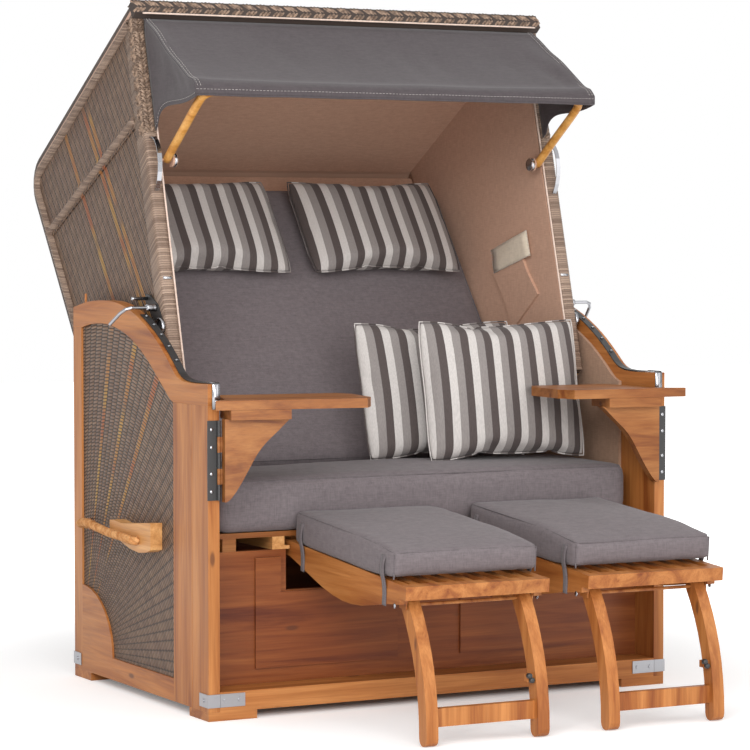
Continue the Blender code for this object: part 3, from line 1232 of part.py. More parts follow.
def make_legs(word, legs):
    line = leg_centreline()
    height = axle_place()[1]
    half = LEG_DEPTH / 2
    rights = []
    lefts = []
    for i, here in enumerate(line):
        along = (line[min(i + 1, LEG_STEPS)] - line[max(i - 1, 0)]).normalized()
        across = Vector((-along.y, along.x)) * half
        rights.append(tuple(here + across))
        lefts.append(tuple(here - across))
    first = (line[1] - line[0]).angle_signed(Vector((1, 0)))
    cap = [(half * math.cos(a), half * math.sin(a)) for a in
           [first + math.pi / 2 + math.pi * i / 6 for i in range(1, 6)]]
    foot = line[-1]
    toe = [(foot.x + half * math.cos(a), foot.y + half * math.sin(a)) for a in
           [math.pi + math.pi * i / 6 for i in range(1, 6)]]
    bm = bmesh.new()
    hole = circle(0, 0, AXLE_RADIUS + BORE_CLEARANCE)
    if rights[0][0] > lefts[0][0]:
        rights, lefts = lefts, rights
    turned = [p for p in cap]
    if (Vector(turned[0]) - Vector(rights[0])).length < (Vector(turned[-1]) - Vector(rights[0])).length:
        turned = turned[::-1]
    outline = [*rights, *toe, *lefts[::-1], *turned]
    for side in (-1, 1):
        inner = LEG_CENTRE - LEG_THICKNESS / 2
        prism(bm, "X", outline, *span(side, inner, inner + LEG_THICKNESS), (hole,))
    low = LEG_BAR_LOW - height
    high = LEG_BAR_HIGH - height
    bar = next(p for p in line if p.y < (low + high) / 2)
    y = bar.x + (LEG_DEPTH - LEG_BAR_THICKNESS) / 2
    reach = LEG_CENTRE - LEG_THICKNESS / 2 + SINK
    box(bm, (-reach, reach), (y - LEG_BAR_THICKNESS / 2, y + LEG_BAR_THICKNESS / 2), (low, high))
    clip = bmesh.new()
    at = min(line, key=lambda p: abs(p.y + height - CLIP_HEIGHT))
    box(clip, (reach - CLIP_SIZE, reach), (at.x - CLIP_SIZE / 2, at.x + CLIP_SIZE / 2),
        (at.y - CLIP_SIZE / 2, at.y + CLIP_SIZE / 2))
    finish(word + "_footrest_legs", bm, WOOD, legs, False, clip, BLACK_METAL)


def centre_on_floor(root):
    """Moves the chair so that its box is centred on the origin, standing on z = 0."""
    bpy.context.view_layer.update()
    graph = bpy.context.evaluated_depsgraph_get()
    corners = []
    for made in bpy.data.objects:
        if made.type == "EMPTY":
            continue
        mesh = made.evaluated_get(graph).to_mesh()
        corners += [made.matrix_world @ v.co for v in mesh.vertices]
    middle = (min(c.y for c in corners) + max(c.y for c in corners)) / 2
    root.location.y -= middle


def main():
    root = pivot_empty("chair", (0, 0, 0))
    make_sides(root)
    make_front_and_back(root)
    make_seat_frame(root)
    make_base_fittings(root)
    make_handles(root)
    hood = pivot_empty("hood_pivot", (0, PIVOT_Y, PIVOT_Z), (-HOOD_RECLINE, 0, 0), root)
    make_hood_sides(hood)
    make_hood_shell(hood)
    make_hood_fittings(hood)
    make_awning(hood)
    make_hood_cushions(hood)
    make_seat_cushions(root)
    make_tables(root)
    make_footrest("left", LEFT_FOOTREST_X, root)
    make_footrest("right", RIGHT_FOOTREST_X, root)
    centre_on_floor(root)


main()
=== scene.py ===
"""Looks of the hooded beach chair: its materials, soft goods, rope, light and camera."""
import json
import math
from functools import partialmethod

import bmesh
import bpy
import numpy as np
from mathutils import Matrix, Vector, noise


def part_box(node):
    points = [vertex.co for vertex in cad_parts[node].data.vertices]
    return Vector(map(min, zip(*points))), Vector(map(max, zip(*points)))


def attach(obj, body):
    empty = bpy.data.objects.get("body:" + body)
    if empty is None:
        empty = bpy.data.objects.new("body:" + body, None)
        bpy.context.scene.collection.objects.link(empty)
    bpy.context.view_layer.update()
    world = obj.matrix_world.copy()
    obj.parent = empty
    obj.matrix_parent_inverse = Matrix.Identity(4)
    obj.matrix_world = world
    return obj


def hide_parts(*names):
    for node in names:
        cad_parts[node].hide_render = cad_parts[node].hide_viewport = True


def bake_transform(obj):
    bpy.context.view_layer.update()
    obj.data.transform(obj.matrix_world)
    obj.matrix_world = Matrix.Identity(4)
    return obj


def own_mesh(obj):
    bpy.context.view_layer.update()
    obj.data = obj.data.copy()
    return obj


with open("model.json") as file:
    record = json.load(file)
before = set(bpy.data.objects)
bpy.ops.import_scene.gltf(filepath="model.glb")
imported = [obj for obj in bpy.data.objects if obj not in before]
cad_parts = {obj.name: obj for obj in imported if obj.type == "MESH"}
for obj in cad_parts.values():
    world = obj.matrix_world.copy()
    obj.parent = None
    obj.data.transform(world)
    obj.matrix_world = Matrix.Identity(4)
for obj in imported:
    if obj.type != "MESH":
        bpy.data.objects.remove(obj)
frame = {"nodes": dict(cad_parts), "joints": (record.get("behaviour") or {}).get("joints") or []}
NODES = frame["nodes"]
JOINTS = {joint["name"]: joint for joint in frame["joints"]}
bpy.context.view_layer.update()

SIDES = (("left", -1), ("right", 1))
GAP = 0.0003
PIVOT = Vector(JOINTS["hood_tilt"]["pos_m"])
SHIFT = PIVOT.y - 0.150
RECLINE = math.radians(37.0)
TILT = math.radians(4.8)
HOOD = Matrix.Translation(PIVOT) @ Matrix.Rotation(-RECLINE, 4, "X")
HOOD_HALF = 0.56
HOOD_INNER = 0.53
LINING_X = 0.5267
HOOD_FRONT_U = -0.722
HOOD_TOP = 1.047
HOOD_BACK = 0.058
KNEE = 0.075
FALL_ANGLE = math.radians(6.75)
SLOPE_ANGLE = math.radians(21.2)
FALL = math.tan(FALL_ANGLE)
SLOPE = math.tan(SLOPE_ANGLE)
HOOD_BOTTOM = 0.105
BACK_SKIN_FRONT = 0.0437
BAND = 0.050 / math.cos(SLOPE_ANGLE)
BASE_HALF = 0.61
BASE_FRONT = -0.40 + SHIFT
BASE_BACK = 0.40 + SHIFT


def roof_w(u):
    return HOOD_TOP + (u - (HOOD_BACK - KNEE)) * FALL


def front_u(w):
    return HOOD_FRONT_U + (roof_w(HOOD_FRONT_U) - w) * SLOPE


def face_u(w):
    """The front face of the side walls, which leans a little more than the front edge."""
    return front_u(w) - 0.0095 * (w - HOOD_BOTTOM) / 0.834


def in_hood(x, u, w):
    return HOOD @ Vector((x, u, w))


# Node graphs

class Look:
    """A material whose nodes are written as expressions."""

    def __init__(self, name, roughness=0.6, metallic=0.0, specular=0.5):
        self.mat = bpy.data.materials.new(name)
        self.mat.use_nodes = True
        self.tree = self.mat.node_tree
        self.shader = self.tree.nodes["Principled BSDF"]
        self.shader.inputs["Roughness"].default_value = roughness
        self.shader.inputs["Metallic"].default_value = metallic
        self.shader.inputs["Specular IOR Level"].default_value = specular
        self.coords = self.add("ShaderNodeTexCoord").outputs["Object"]

    def add(self, kind):
        return self.tree.nodes.new(kind)

    def put(self, value, socket):
        if isinstance(value, bpy.types.NodeSocket):
            self.tree.links.new(value, socket)
        else:
            socket.default_value = value

    def math(self, operation, a, b=0.0, c=0.0):
        node = self.add("ShaderNodeMath")
        node.operation = operation
        for value, socket in zip((a, b, c), node.inputs):
            self.put(value, socket)
        return node.outputs[0]

    def smooth(self, value, low, high):
        node = self.add("ShaderNodeMapRange")
        node.interpolation_type = "SMOOTHSTEP"
        self.put(value, node.inputs["Value"])
        node.inputs["From Min"].default_value = low
        node.inputs["From Max"].default_value = high
        return node.outputs[0]

    def mapped(self, scale=(1, 1, 1), location=(0, 0, 0), rotation=(0, 0, 0), vector=None):
        node = self.add("ShaderNodeMapping")
        self.put(vector or self.coords, node.inputs["Vector"])
        node.inputs["Scale"].default_value = scale
        node.inputs["Location"].default_value = location
        node.inputs["Rotation"].default_value = rotation
        return node.outputs[0]

    def split(self, vector):
        node = self.add("ShaderNodeSeparateXYZ")
        self.put(vector, node.inputs[0])
        return node.outputs

    def join(self, x, y=0.0, z=0.0):
        node = self.add("ShaderNodeCombineXYZ")
        for value, socket in zip((x, y, z), node.inputs):
            self.put(value, socket)
        return node.outputs[0]

    def noise(self, vector, scale, detail=3.0, rough=0.5, distortion=0.0):
        node = self.add("ShaderNodeTexNoise")
        self.put(vector, node.inputs["Vector"])
        for key, value in (("Scale", scale), ("Detail", detail), ("Roughness", rough),
                           ("Distortion", distortion)):
            node.inputs[key].default_value = value
        return node.outputs["Fac"]

    def random(self, vector):
        node = self.add("ShaderNodeTexWhiteNoise")
        self.put(vector, node.inputs["Vector"])
        return node.outputs["Value"]

    def mix(self, factor, a, b, blend="MIX"):
        node = self.add("ShaderNodeMix")
        node.data_type = "RGBA"
        node.blend_type = blend
        for value, index in ((factor, 0), (a, 6), (b, 7)):
            value = (*value, 1.0) if isinstance(value, tuple) else value
            self.put(value, node.inputs[index])
        return node.outputs[2]

    def ramp(self, factor, stops, interpolation="LINEAR"):
        node = self.add("ShaderNodeValToRGB")
        self.put(factor, node.inputs[0])
        ramp = node.color_ramp
        ramp.interpolation = interpolation
        while len(ramp.elements) < len(stops):
            ramp.elements.new(0.5)
        for element, (position, colour) in zip(ramp.elements, stops):
            element.position = position
            element.color = (*colour, 1.0)
        return node.outputs[0]

    def shaded(self, colour, amount, value, low, high):
        """A colour toned by a value; low and high are each a place on that value and a tone."""
        return self.mix(amount, colour, self.ramp(value, (low, high)), "MULTIPLY")

    def bump(self, height, distance, strength=1.0, under=None):
        node = self.add("ShaderNodeBump")
        node.inputs["Strength"].default_value = strength
        node.inputs["Distance"].default_value = distance
        self.put(height, node.inputs["Height"])
        if under:
            self.put(under, node.inputs["Normal"])
        return node.outputs[0]

    def finish(self, colour, normal=None, roughness=None):
        value = (*colour, 1.0) if isinstance(colour, tuple) else colour
        self.put(value, self.shader.inputs["Base Color"])
        if normal:
            self.put(normal, self.shader.inputs["Normal"])
        if roughness is not None:
            self.put(roughness, self.shader.inputs["Roughness"])
        return self.mat


for word, operation in (
        ("plus", "ADD"), ("minus", "SUBTRACT"), ("times", "MULTIPLY"), ("over", "DIVIDE"),
        ("times_plus", "MULTIPLY_ADD"), ("most", "MAXIMUM"), ("least", "MINIMUM"), ("size", "ABSOLUTE"),
        ("below", "LESS_THAN"), ("above", "GREATER_THAN"), ("sine", "SINE"), ("cosine", "COSINE"),
        ("root", "SQRT"), ("whole", "FLOOR")):
    setattr(Look, word, partialmethod(Look.math, operation))


def srgb(r, g, b):
    return tuple(((v / 255 + 0.055) / 1.055) ** 2.4 if v > 10 else v / 255 / 12.92 for v in (r, g, b))


WOOD_STOPS = (srgb(124, 62, 22), srgb(164, 102, 50), srgb(190, 128, 72))


def along_grain(axis, across, along):
    return tuple(along if name == axis else across for name in "XYZ")


def wood(name, axis, seed=0.0, tone=1.0, stops=WOOD_STOPS, steel=None):
    """Oiled teak with its grain along an axis, dark figure, small knots and a soft sheen.

    Where steel is given, it tests a place for the bracket that shows there as polished steel.
    """
    look = Look(name, 0.42, specular=0.35)
    flow = look.mapped(along_grain(axis, 26.0, 1.7), (seed, seed * 1.7, seed * 0.6))
    figure = look.noise(flow, 1.0, 6.0, 0.55, 0.9)
    fine = look.noise(look.mapped(along_grain(axis, 260.0, 7.0)), 1.0, 3.0, 0.6)
    clouds = look.noise(look.mapped((3, 3, 3), (seed * 3, 0, seed)), 1.0, 3.0)
    low, mid, high = (tuple(min(c * tone, 1.0) for c in stop) for stop in stops)
    colour = look.ramp(figure, ((0.28, low), (0.46, mid), (0.68, high)))
    warm = look.mix(look.smooth(clouds, 0.35, 0.75), (1.0, 1.0, 1.0), (1.03, 0.94, 0.84))
    colour = look.mix(0.75, colour, warm, "MULTIPLY")
    streak = look.smooth(fine, 0.30, 0.62)
    shade = look.mix(streak, (0.74, 0.68, 0.62), (1.0, 1.0, 1.0))
    colour = look.mix(0.6, colour, shade, "MULTIPLY")
    knots = look.add("ShaderNodeTexVoronoi")
    knot_place = look.mapped(along_grain(axis, 9.0, 3.2), (seed * 2.3, seed, seed * 1.1))
    look.put(knot_place, knots.inputs["Vector"])
    knots.inputs["Scale"].default_value = 1.0
    spot = look.smooth(knots.outputs["Distance"], 0.075, 0.03)
    colour = look.mix(look.times(spot, 0.75), colour, srgb(84, 44, 24))
    rough = look.times_plus(fine, 0.22, 0.34)
    if steel:
        mask = steel(look, *look.split(look.coords))
        colour = look.mix(mask, colour, CHROME_TONE)
        rough = look.times_plus(rough, look.minus(1.0, mask), look.times(mask, 0.30))
        look.put(mask, look.shader.inputs["Metallic"])
    return look.finish(colour, look.bump(fine, 0.0006, 0.5), rough)


def hood_coords(look):
    """The hood's own u and w from the object's place."""
    shift = -(Matrix.Rotation(RECLINE, 4, "X") @ PIVOT)
    return look.split(look.mapped(location=tuple(shift), rotation=(RECLINE, 0, 0)))


CHROME_TONE = (0.40, 0.40, 0.42)
RIB_PITCH = 0.026
ROW_PITCH = 0.0085
WRAP_PITCH = 0.0052
# The colour of the painted shade in the gaps of the weave.
WEAVE_PAINTED_SHADE = srgb(30, 21, 17)
WEAVE_MID = srgb(92, 70, 55)
WEAVE_PALE = srgb(144, 116, 94)


def weave_colours(look, ribs, rows, warm=(), slant=0.9):
    """Strands that bulge over each rib, with painted shade between them. Rows and ribs are counted from zero,
    and warm lists coloured ribs.
    """
    column = look.whole(look.plus(ribs, 0.5))
    cell = look.minus(ribs, column)
    odd = look.math("MODULO", look.size(column), 2.0)
    place = look.plus(look.times_plus(cell, slant, rows), look.times(odd, 0.5))
    row = look.whole(place)
    strand_round = look.math("POWER", look.size(look.sine(look.times(place, math.pi))), 0.7)
    bulge = look.cosine(look.times(cell, math.pi))
    height = look.times(strand_round, look.times_plus(bulge, 0.65, 0.35))
    tint = look.random(look.join(row, column, 3.0))
    strand = look.mix(look.times_plus(tint, 0.5, 0.25), WEAVE_MID, WEAVE_PALE)
    blur = look.noise(look.join(look.times(ribs, 0.5), look.times(rows, 0.06)), 1.0, 2.0)
    hue = look.mix(look.smooth(look.noise(look.join(column, look.times(rows, 0.05), 9.0), 1.0), 0.4, 0.6),
                   srgb(176, 136, 66), srgb(158, 92, 54))
    for number in warm:
        along = look.smooth(look.noise(look.join(number, look.times(rows, 0.05), 5.0), 1.0, 1.0), 0.30, 0.48)
        core = look.below(look.size(look.minus(ribs, number)), 0.30)
        strand = look.mix(look.times(along, core), strand, hue)
    strand = look.mix(look.smooth(blur, 0.35, 0.7), strand, (0.93, 0.90, 0.94), "MULTIPLY")
    # Painted shade: the strands darken to the dark weave colour at their rounded edges, in the gaps between
    # rows and towards each rib's edges.
    light = look.most(strand_round, look.times(bulge, 0.20))
    light = look.times(light, look.times_plus(look.smooth(bulge, 0.0, 0.7), 0.58, 0.42))
    colour = look.mix(look.smooth(light, 0.16, 0.78), WEAVE_PAINTED_SHADE, strand)
    return colour, height


def wraps(look, coordinate, pitch):
    """Flat strands wound side by side round a bar, with painted shade in the grooves between them."""
    turns = look.over(coordinate, pitch)
    height = look.size(look.sine(look.times(turns, math.pi)))
    tint = look.random(look.join(look.whole(turns), 2.0, 5.0))
    strand = look.mix(tint, srgb(118, 96, 82), srgb(166, 142, 124))
    # Painted shade: the grooves between the strands go dark brown.
    colour = look.mix(look.smooth(height, 0.02, 0.40), srgb(74, 58, 48), strand)
    return colour, height


def wound(name, round_post):
    """Strands wound round a post, or round a roll that runs along the roof and down the back."""
    look = Look(name, 0.5, specular=0.35)
    _, u, w = hood_coords(look)
    colour, height = wraps(look, w if round_post else look.minus(u, w), WRAP_PITCH)
    fine = look.noise(look.mapped(), 300.0, 3.0)
    colour = look.shaded(colour, 0.35, fine, (0.35, (0.7, 0.68, 0.66)), (0.65, (1.1, 1.1, 1.1)))
    return look.finish(colour, look.bump(height, 0.0014, 0.8))


def weave_flat(name, first, second, warm=(), inner=False):
    """The weave on the hood; first and second name the coordinates across ribs and strands.

    With inner, what lies inside the rounded shell shows the lining's colour.
    """
    look = Look(name, 0.5, specular=0.35)
    x, u, w = hood_coords(look)
    axes = {"x": x, "u": u, "w": w}
    colour, height = weave_colours(look, look.over(axes[first], RIB_PITCH),
                                   look.over(axes[second], ROW_PITCH), warm)
    if inner:
        past = look.minus(u, HOOD_BACK - KNEE)
        level = look.times_plus(look.least(past, 0.0), FALL, HOOD_TOP - KNEE)
        du = look.most(past, 0.0)
        dw = look.most(look.minus(w, level), 0.0)
        reach = look.root(look.plus(look.times(du, du), look.times(dw, dw)))
        inside = look.below(reach, KNEE - 0.0115)
        colour = look.mix(inside, colour, srgb(190, 152, 130))
        height = look.times(height, look.minus(1.0, inside))
    return look.finish(colour, look.bump(height, 0.004, 1.0))


def weave_hood_side():
    """The side's weave, the wound post band that stands a little proud of it, and the chrome bow in front."""
    look = Look("hood_side_weave", 0.5, specular=0.35)
    x, u, w = hood_coords(look)
    colour, height = weave_colours(look, look.over(u, RIB_PITCH), look.over(w, ROW_PITCH), (-14, -13, -8))
    proud = look.above(look.size(x), HOOD_HALF + 0.0005)
    edge = look.minus(u, look.times_plus(w, -SLOPE, HOOD_FRONT_U + roof_w(HOOD_FRONT_U) * SLOPE))
    post = look.below(edge, BAND + 0.001)
    inside = look.below(edge, 0.002)
    skin = look.below(look.size(x), HOOD_INNER + 0.001)
    bow = look.times(look.below(edge, -0.0085),
                    look.below(look.size(look.minus(w, 0.590)), 0.070))
    band_colour, band_height = wraps(look, w, WRAP_PITCH)
    use_post = look.most(look.times(proud, post), inside)
    colour = look.mix(use_post, colour, band_colour)
    colour = look.mix(skin, colour, srgb(176, 142, 120))
    colour = look.mix(bow, colour, CHROME_TONE)
    height = look.plus(look.times(height, look.minus(1.0, use_post)),
                       look.times(band_height, use_post))
    height = look.times(height, look.minus(1.0, bow))
    look.put(bow, look.shader.inputs["Metallic"])
    return look.finish(colour, look.bump(height, 0.0035, 1.0), look.times_plus(bow, -0.28, 0.5))


def weave_fan(name):
    """The base's side infill: ribs that fan out from the lower back corner."""
    look = Look(name, 0.5, specular=0.35)
    _, y, z = look.split(look.coords)
    back = look.minus(BASE_BACK - 0.051, y)
    up = look.minus(z, 0.073)
    angle = look.math("ARCTAN2", up, look.plus(back, 0.012))
    radius = look.root(look.plus(look.times(back, back), look.times(up, up)))
    colour, height = weave_colours(look, look.over(angle, 0.0445), look.over(radius, 0.0088), (30, 26, 22))
    return look.finish(colour, look.bump(height, 0.004, 1.0))


def cloth(name, tone, dark, thread=0.0011, fuzz=0.35, roughness=0.85):
    """Woven outdoor cloth: crossed threads with slubs, and a faint sheen."""
    look = Look(name, roughness, specular=0.18)
    look.shader.inputs["Sheen Weight"].default_value = 0.12
    look.shader.inputs["Sheen Roughness"].default_value = 0.5
    warp = look.noise(look.mapped((520, 520, 34)), 1.0, 2.0)
    weft = look.noise(look.mapped((40, 40, 560)), 1.0, 2.0)
    threads = look.plus(look.times(warp, 0.5), look.times(weft, 0.5))
    mottle = look.noise(look.mapped(), 90.0, 4.0, 0.6)
    value = look.plus(look.times(threads, 1.0 - fuzz), look.times(mottle, fuzz))
    colour = look.ramp(value, ((0.36, dark), (0.60, tone)))
    normal = look.bump(threads, thread * 0.5, 0.6)
    return look.finish(colour, normal)


STRIPE_SHARES = ((0.00, "mid"), (0.333, "dark"), (0.667, "pale"))
STRIPE_PERIOD = 0.061
STRIPES = {"dark": srgb(82, 73, 71), "mid": srgb(138, 131, 128), "pale": srgb(196, 190, 186)}


def stripes(name, period, offset):
    """Upright stripes across X, each with its own thread shade."""
    look = Look(name, 0.8, specular=0.18)
    look.shader.inputs["Sheen Weight"].default_value = 0.1
    along = look.plus(look.split(look.coords)[0], offset)
    turn = look.math("FRACT", look.over(along, period))
    bands = look.ramp(turn, [(place, STRIPES[key]) for place, key in STRIPE_SHARES], "CONSTANT")
    threads = look.noise(look.mapped((700, 700, 60)), 1.0, 3.0)
    colour = look.shaded(bands, 0.5, threads, (0.3, (0.66, 0.66, 0.66)), (0.7, (1.12, 1.12, 1.12)))
    return look.finish(colour, look.bump(threads, 0.0005, 0.5))


def metal(name, colour, roughness, wear=0.2):
    look = Look(name, roughness, 1.0)
    smudge = look.noise(look.mapped(), 30.0, 4.0)
    dull = tuple(c * (1 - wear) for c in colour)
    rough = look.times_plus(smudge, 0.18, roughness)
    return look.finish(look.mix(smudge, colour, dull), None, rough)


def paint(name, colour, roughness=0.45):
    look = Look(name, roughness)
    grain = look.noise(look.mapped(), 900.0, 2.0)
    pale = tuple(c * 1.5 + 0.01 for c in colour)
    return look.finish(look.mix(grain, colour, pale), look.bump(grain, 0.0002, 0.4))


CHROME = metal("chrome", CHROME_TONE, 0.16)
BLACK = paint("black_steel", (0.018, 0.017, 0.017))
# Painted light: the roof lining and backrest board get a paler copy of the lining cloth than the side lining,
# standing in for light that falls under the roof.
LINING_PAINTED_LIGHT = cloth("beige_lining", srgb(200, 160, 136), srgb(182, 144, 122), 0.0005, 0.25)
SIDE_LINING = cloth("side_lining", srgb(176, 142, 118), srgb(156, 124, 102), 0.0005, 0.25)
GREY = cloth("grey_cloth", srgb(116, 107, 109), srgb(98, 90, 92), 0.0007)
GREY_SEAM = cloth("grey_seam", srgb(108, 100, 102), srgb(88, 81, 83))
AWNING = cloth("awning_cloth", srgb(80, 73, 75), srgb(66, 60, 62), 0.0004, 0.3, 0.62)
STITCH = cloth("pale_stitch", srgb(196, 190, 186), srgb(160, 152, 148), 0.0004)
PIPING = cloth("cream_piping", srgb(226, 204, 190), srgb(196, 172, 156), 0.0006)
ROOF_WEAVE = weave_flat("roof_weave", "x", "u", inner=True)
BACK_WEAVE = weave_flat("back_weave", "x", "w", warm=(-9, 4, 15), inner=True)
POST_WOOD = wood("teak_upright", "Z", 1.3)
ARCH_WOOD = wood("teak_along", "Y", 2.1)
# Painted shade: the seat board, table and footrest frame get darker-toned copies of the teak, for parts seen in
# shade; the front wall's darker stops are a darker wood, and its low tone is painted shade.
SHADED_SEAT_TEAK = wood("teak_across_painted_shade", "X", 3.7, 0.70)
DARKER_SHADED_WALL_TEAK = wood("teak_wall_darker_and_painted_shade", "X", 5.9, 0.68, (srgb(104, 44, 18), srgb(144, 76, 34), srgb(170, 100, 50)))
SHADED_TABLE_TEAK = wood("teak_table_painted_shade", "X", 7.7, 0.70)
SHADED_FRAME_TEAK = wood("teak_frame_painted_shade", "Y", 8.3, 0.92)
LEG_WOOD = wood("teak_legs", "Z", 9.1, 1.0)
PALE = wood("pale_wood", "Y", 4.4, 1.0, (srgb(160, 104, 54), srgb(198, 144, 88), srgb(220, 172, 116)))
BOW_WOOD = wood("bow_wood", "X", 6.2, 1.0, (srgb(166, 104, 40), srgb(204, 146, 72), srgb(224, 172, 100)))


def dress(name, look):
    part = NODES[name]
    part.data.materials.clear()
    part.data.materials.append(look)


def corner_steel(look, x, y, z):
    low = look.below(z, 0.0625)
    high = look.above(z, 0.0300)
    side = look.above(look.size(x), BASE_HALF + GAP)
    front = look.below(y, BASE_FRONT - GAP)
    back = look.above(y, BASE_BACK + GAP)
    outside = look.most(side, look.most(front, back))
    return look.times(look.times(low, high), outside)


def dress_cad():
    """Gives each CAD node that stays its material; the first list is for both sides."""
    post = wood("post_teak", "Z", 1.3, steel=corner_steel)
    sill = wood("sill_teak", "X", 3.7, steel=corner_steel)
    fan = weave_fan("panel_weave")
    hood_side = weave_hood_side()
    for look, names in (
            (post, "front_post back_post"), (ARCH_WOOD, "arch_board bottom_rail"), (fan, "woven_panel"),
            (SIDE_LINING, "side_lining"), (PALE, "footrest_runners handle_grip"), (CHROME, "lock_lever"),
            (SHADED_FRAME_TEAK, "footrest_slider footrest_frame"), (LEG_WOOD, "footrest_legs"),
            (SHADED_TABLE_TEAK, "table_top table_bracket"), (BLACK, "rack_strip hinge_leaf pivot_arm lock_plate")):
        for name in names.split():
            for word, _ in SIDES:
                dress(f"{word}_{name}", look)
    for look, names in (
            (sill, "front_sill back_sill"), (DARKER_SHADED_WALL_TEAK, "front_wall back_panel"), (SHADED_SEAT_TEAK, "seat_board"),
            (hood_side, "hood_left_side hood_right_side"), (ROOF_WEAVE, "hood_roof hood_front_braid"),
            (BACK_WEAVE, "hood_back"), (LINING_PAINTED_LIGHT, "backrest_board hood_lining"), (BOW_WOOD, "awning_bow")):
        for name in names.split():
            dress(name, look)


# Meshes

def make(name, verts, faces, look, body, smooth=True):
    mesh = bpy.data.meshes.new(name)
    mesh.from_pydata([tuple(v) for v in verts], [], faces)
    mesh.validate()
    mesh.materials.append(look)
    if smooth:
        mesh.shade_smooth()
    piece = bpy.data.objects.new(name, mesh)
    bpy.context.scene.collection.objects.link(piece)
    if body:
        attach(piece, body)
    return piece


def grid_faces(rows, columns):
    """The quads of a grid whose points are listed row by row."""
    wide = columns + 1
    return [tuple(i * wide + k + step for step in (0, 1, wide + 1, wide))
            for i in range(rows) for k in range(columns)]


def frames_along(points, closed=False):
    """Each point of a line with two directions across it, which turn as little as they can."""
    count = len(points)
    normal = None
    for i, point in enumerate(points):
        ahead = points[(i + 1) % count] if closed or i + 1 < count else point
        behind = points[i - 1] if closed or i else point
        tangent = (ahead - behind).normalized()
        if normal is None:
            normal = tangent.orthogonal().normalized()
        normal = (normal - tangent * normal.dot(tangent)).normalized()
        yield point, normal, tangent.cross(normal)


def tube_parts(path, radius, sides=8, closed=False):
    """Vertices and faces of a round tube; radius may be a function of the point's number."""
    points = [Vector(p) for p in path]
    count = len(points)
    verts, faces = [], []
    for i, (point, normal, cross) in enumerate(frames_along(points, closed)):
        size = radius(i) if callable(radius) else radius
        for k in range(sides):
            a = math.tau * k / sides
            verts.append(point + (normal * math.cos(a) + cross * math.sin(a)) * size)
    rings = count if closed else count - 1
    for i in range(rings):
        j = (i + 1) % count
        for k in range(sides):
            m = (k + 1) % sides
            faces.append((i * sides + k, i * sides + m, j * sides + m, j * sides + k))
    if not closed:
        faces.append(tuple(range(sides))[::-1])
        faces.append(tuple((count - 1) * sides + k for k in range(sides)))
    return verts, faces


def gather(parts):
    """Joins several sets of vertices and faces."""
    verts, faces = [], []
    for some_verts, some_faces in parts:
        base = len(verts)
        verts += list(some_verts)
        faces += [tuple(base + i for i in face) for face in some_faces]
    return verts, faces


def smooth_path(points, steps=6):
    """A smooth line through points."""
    pts = [Vector(p) for p in points]
    out = []
    for i in range(len(pts) - 1):
        p0 = pts[max(i - 1, 0)]
        p1, p2 = pts[i], pts[i + 1]
        p3 = pts[min(i + 2, len(pts) - 1)]
        for k in range(steps):
            t = k / steps
            out.append(0.5 * ((2 * p1) + (p2 - p0) * t + (2 * p0 - 5 * p1 + 4 * p2 - p3) * t * t
                              + (3 * p1 - p0 - 3 * p2 + p3) * t ** 3))
    out.append(pts[-1])
    return out


def resampled(path, step):
    """Points at even distances along a line."""
    pts = [Vector(p) for p in path]
    lengths = [0.0]
    for a, b in zip(pts, pts[1:]):
        lengths.append(lengths[-1] + (b - a).length)
    total = lengths[-1]
    count = max(2, int(round(total / step)) + 1)
    out = []
    j = 0
    for i in range(count):
        target = total * i / (count - 1)
        while j < len(pts) - 2 and lengths[j + 1] < target:
            j += 1
        span = lengths[j + 1] - lengths[j] or 1.0
        out.append(pts[j].lerp(pts[j + 1], (target - lengths[j]) / span))
    return out


# Foam cushions, sculpted in code

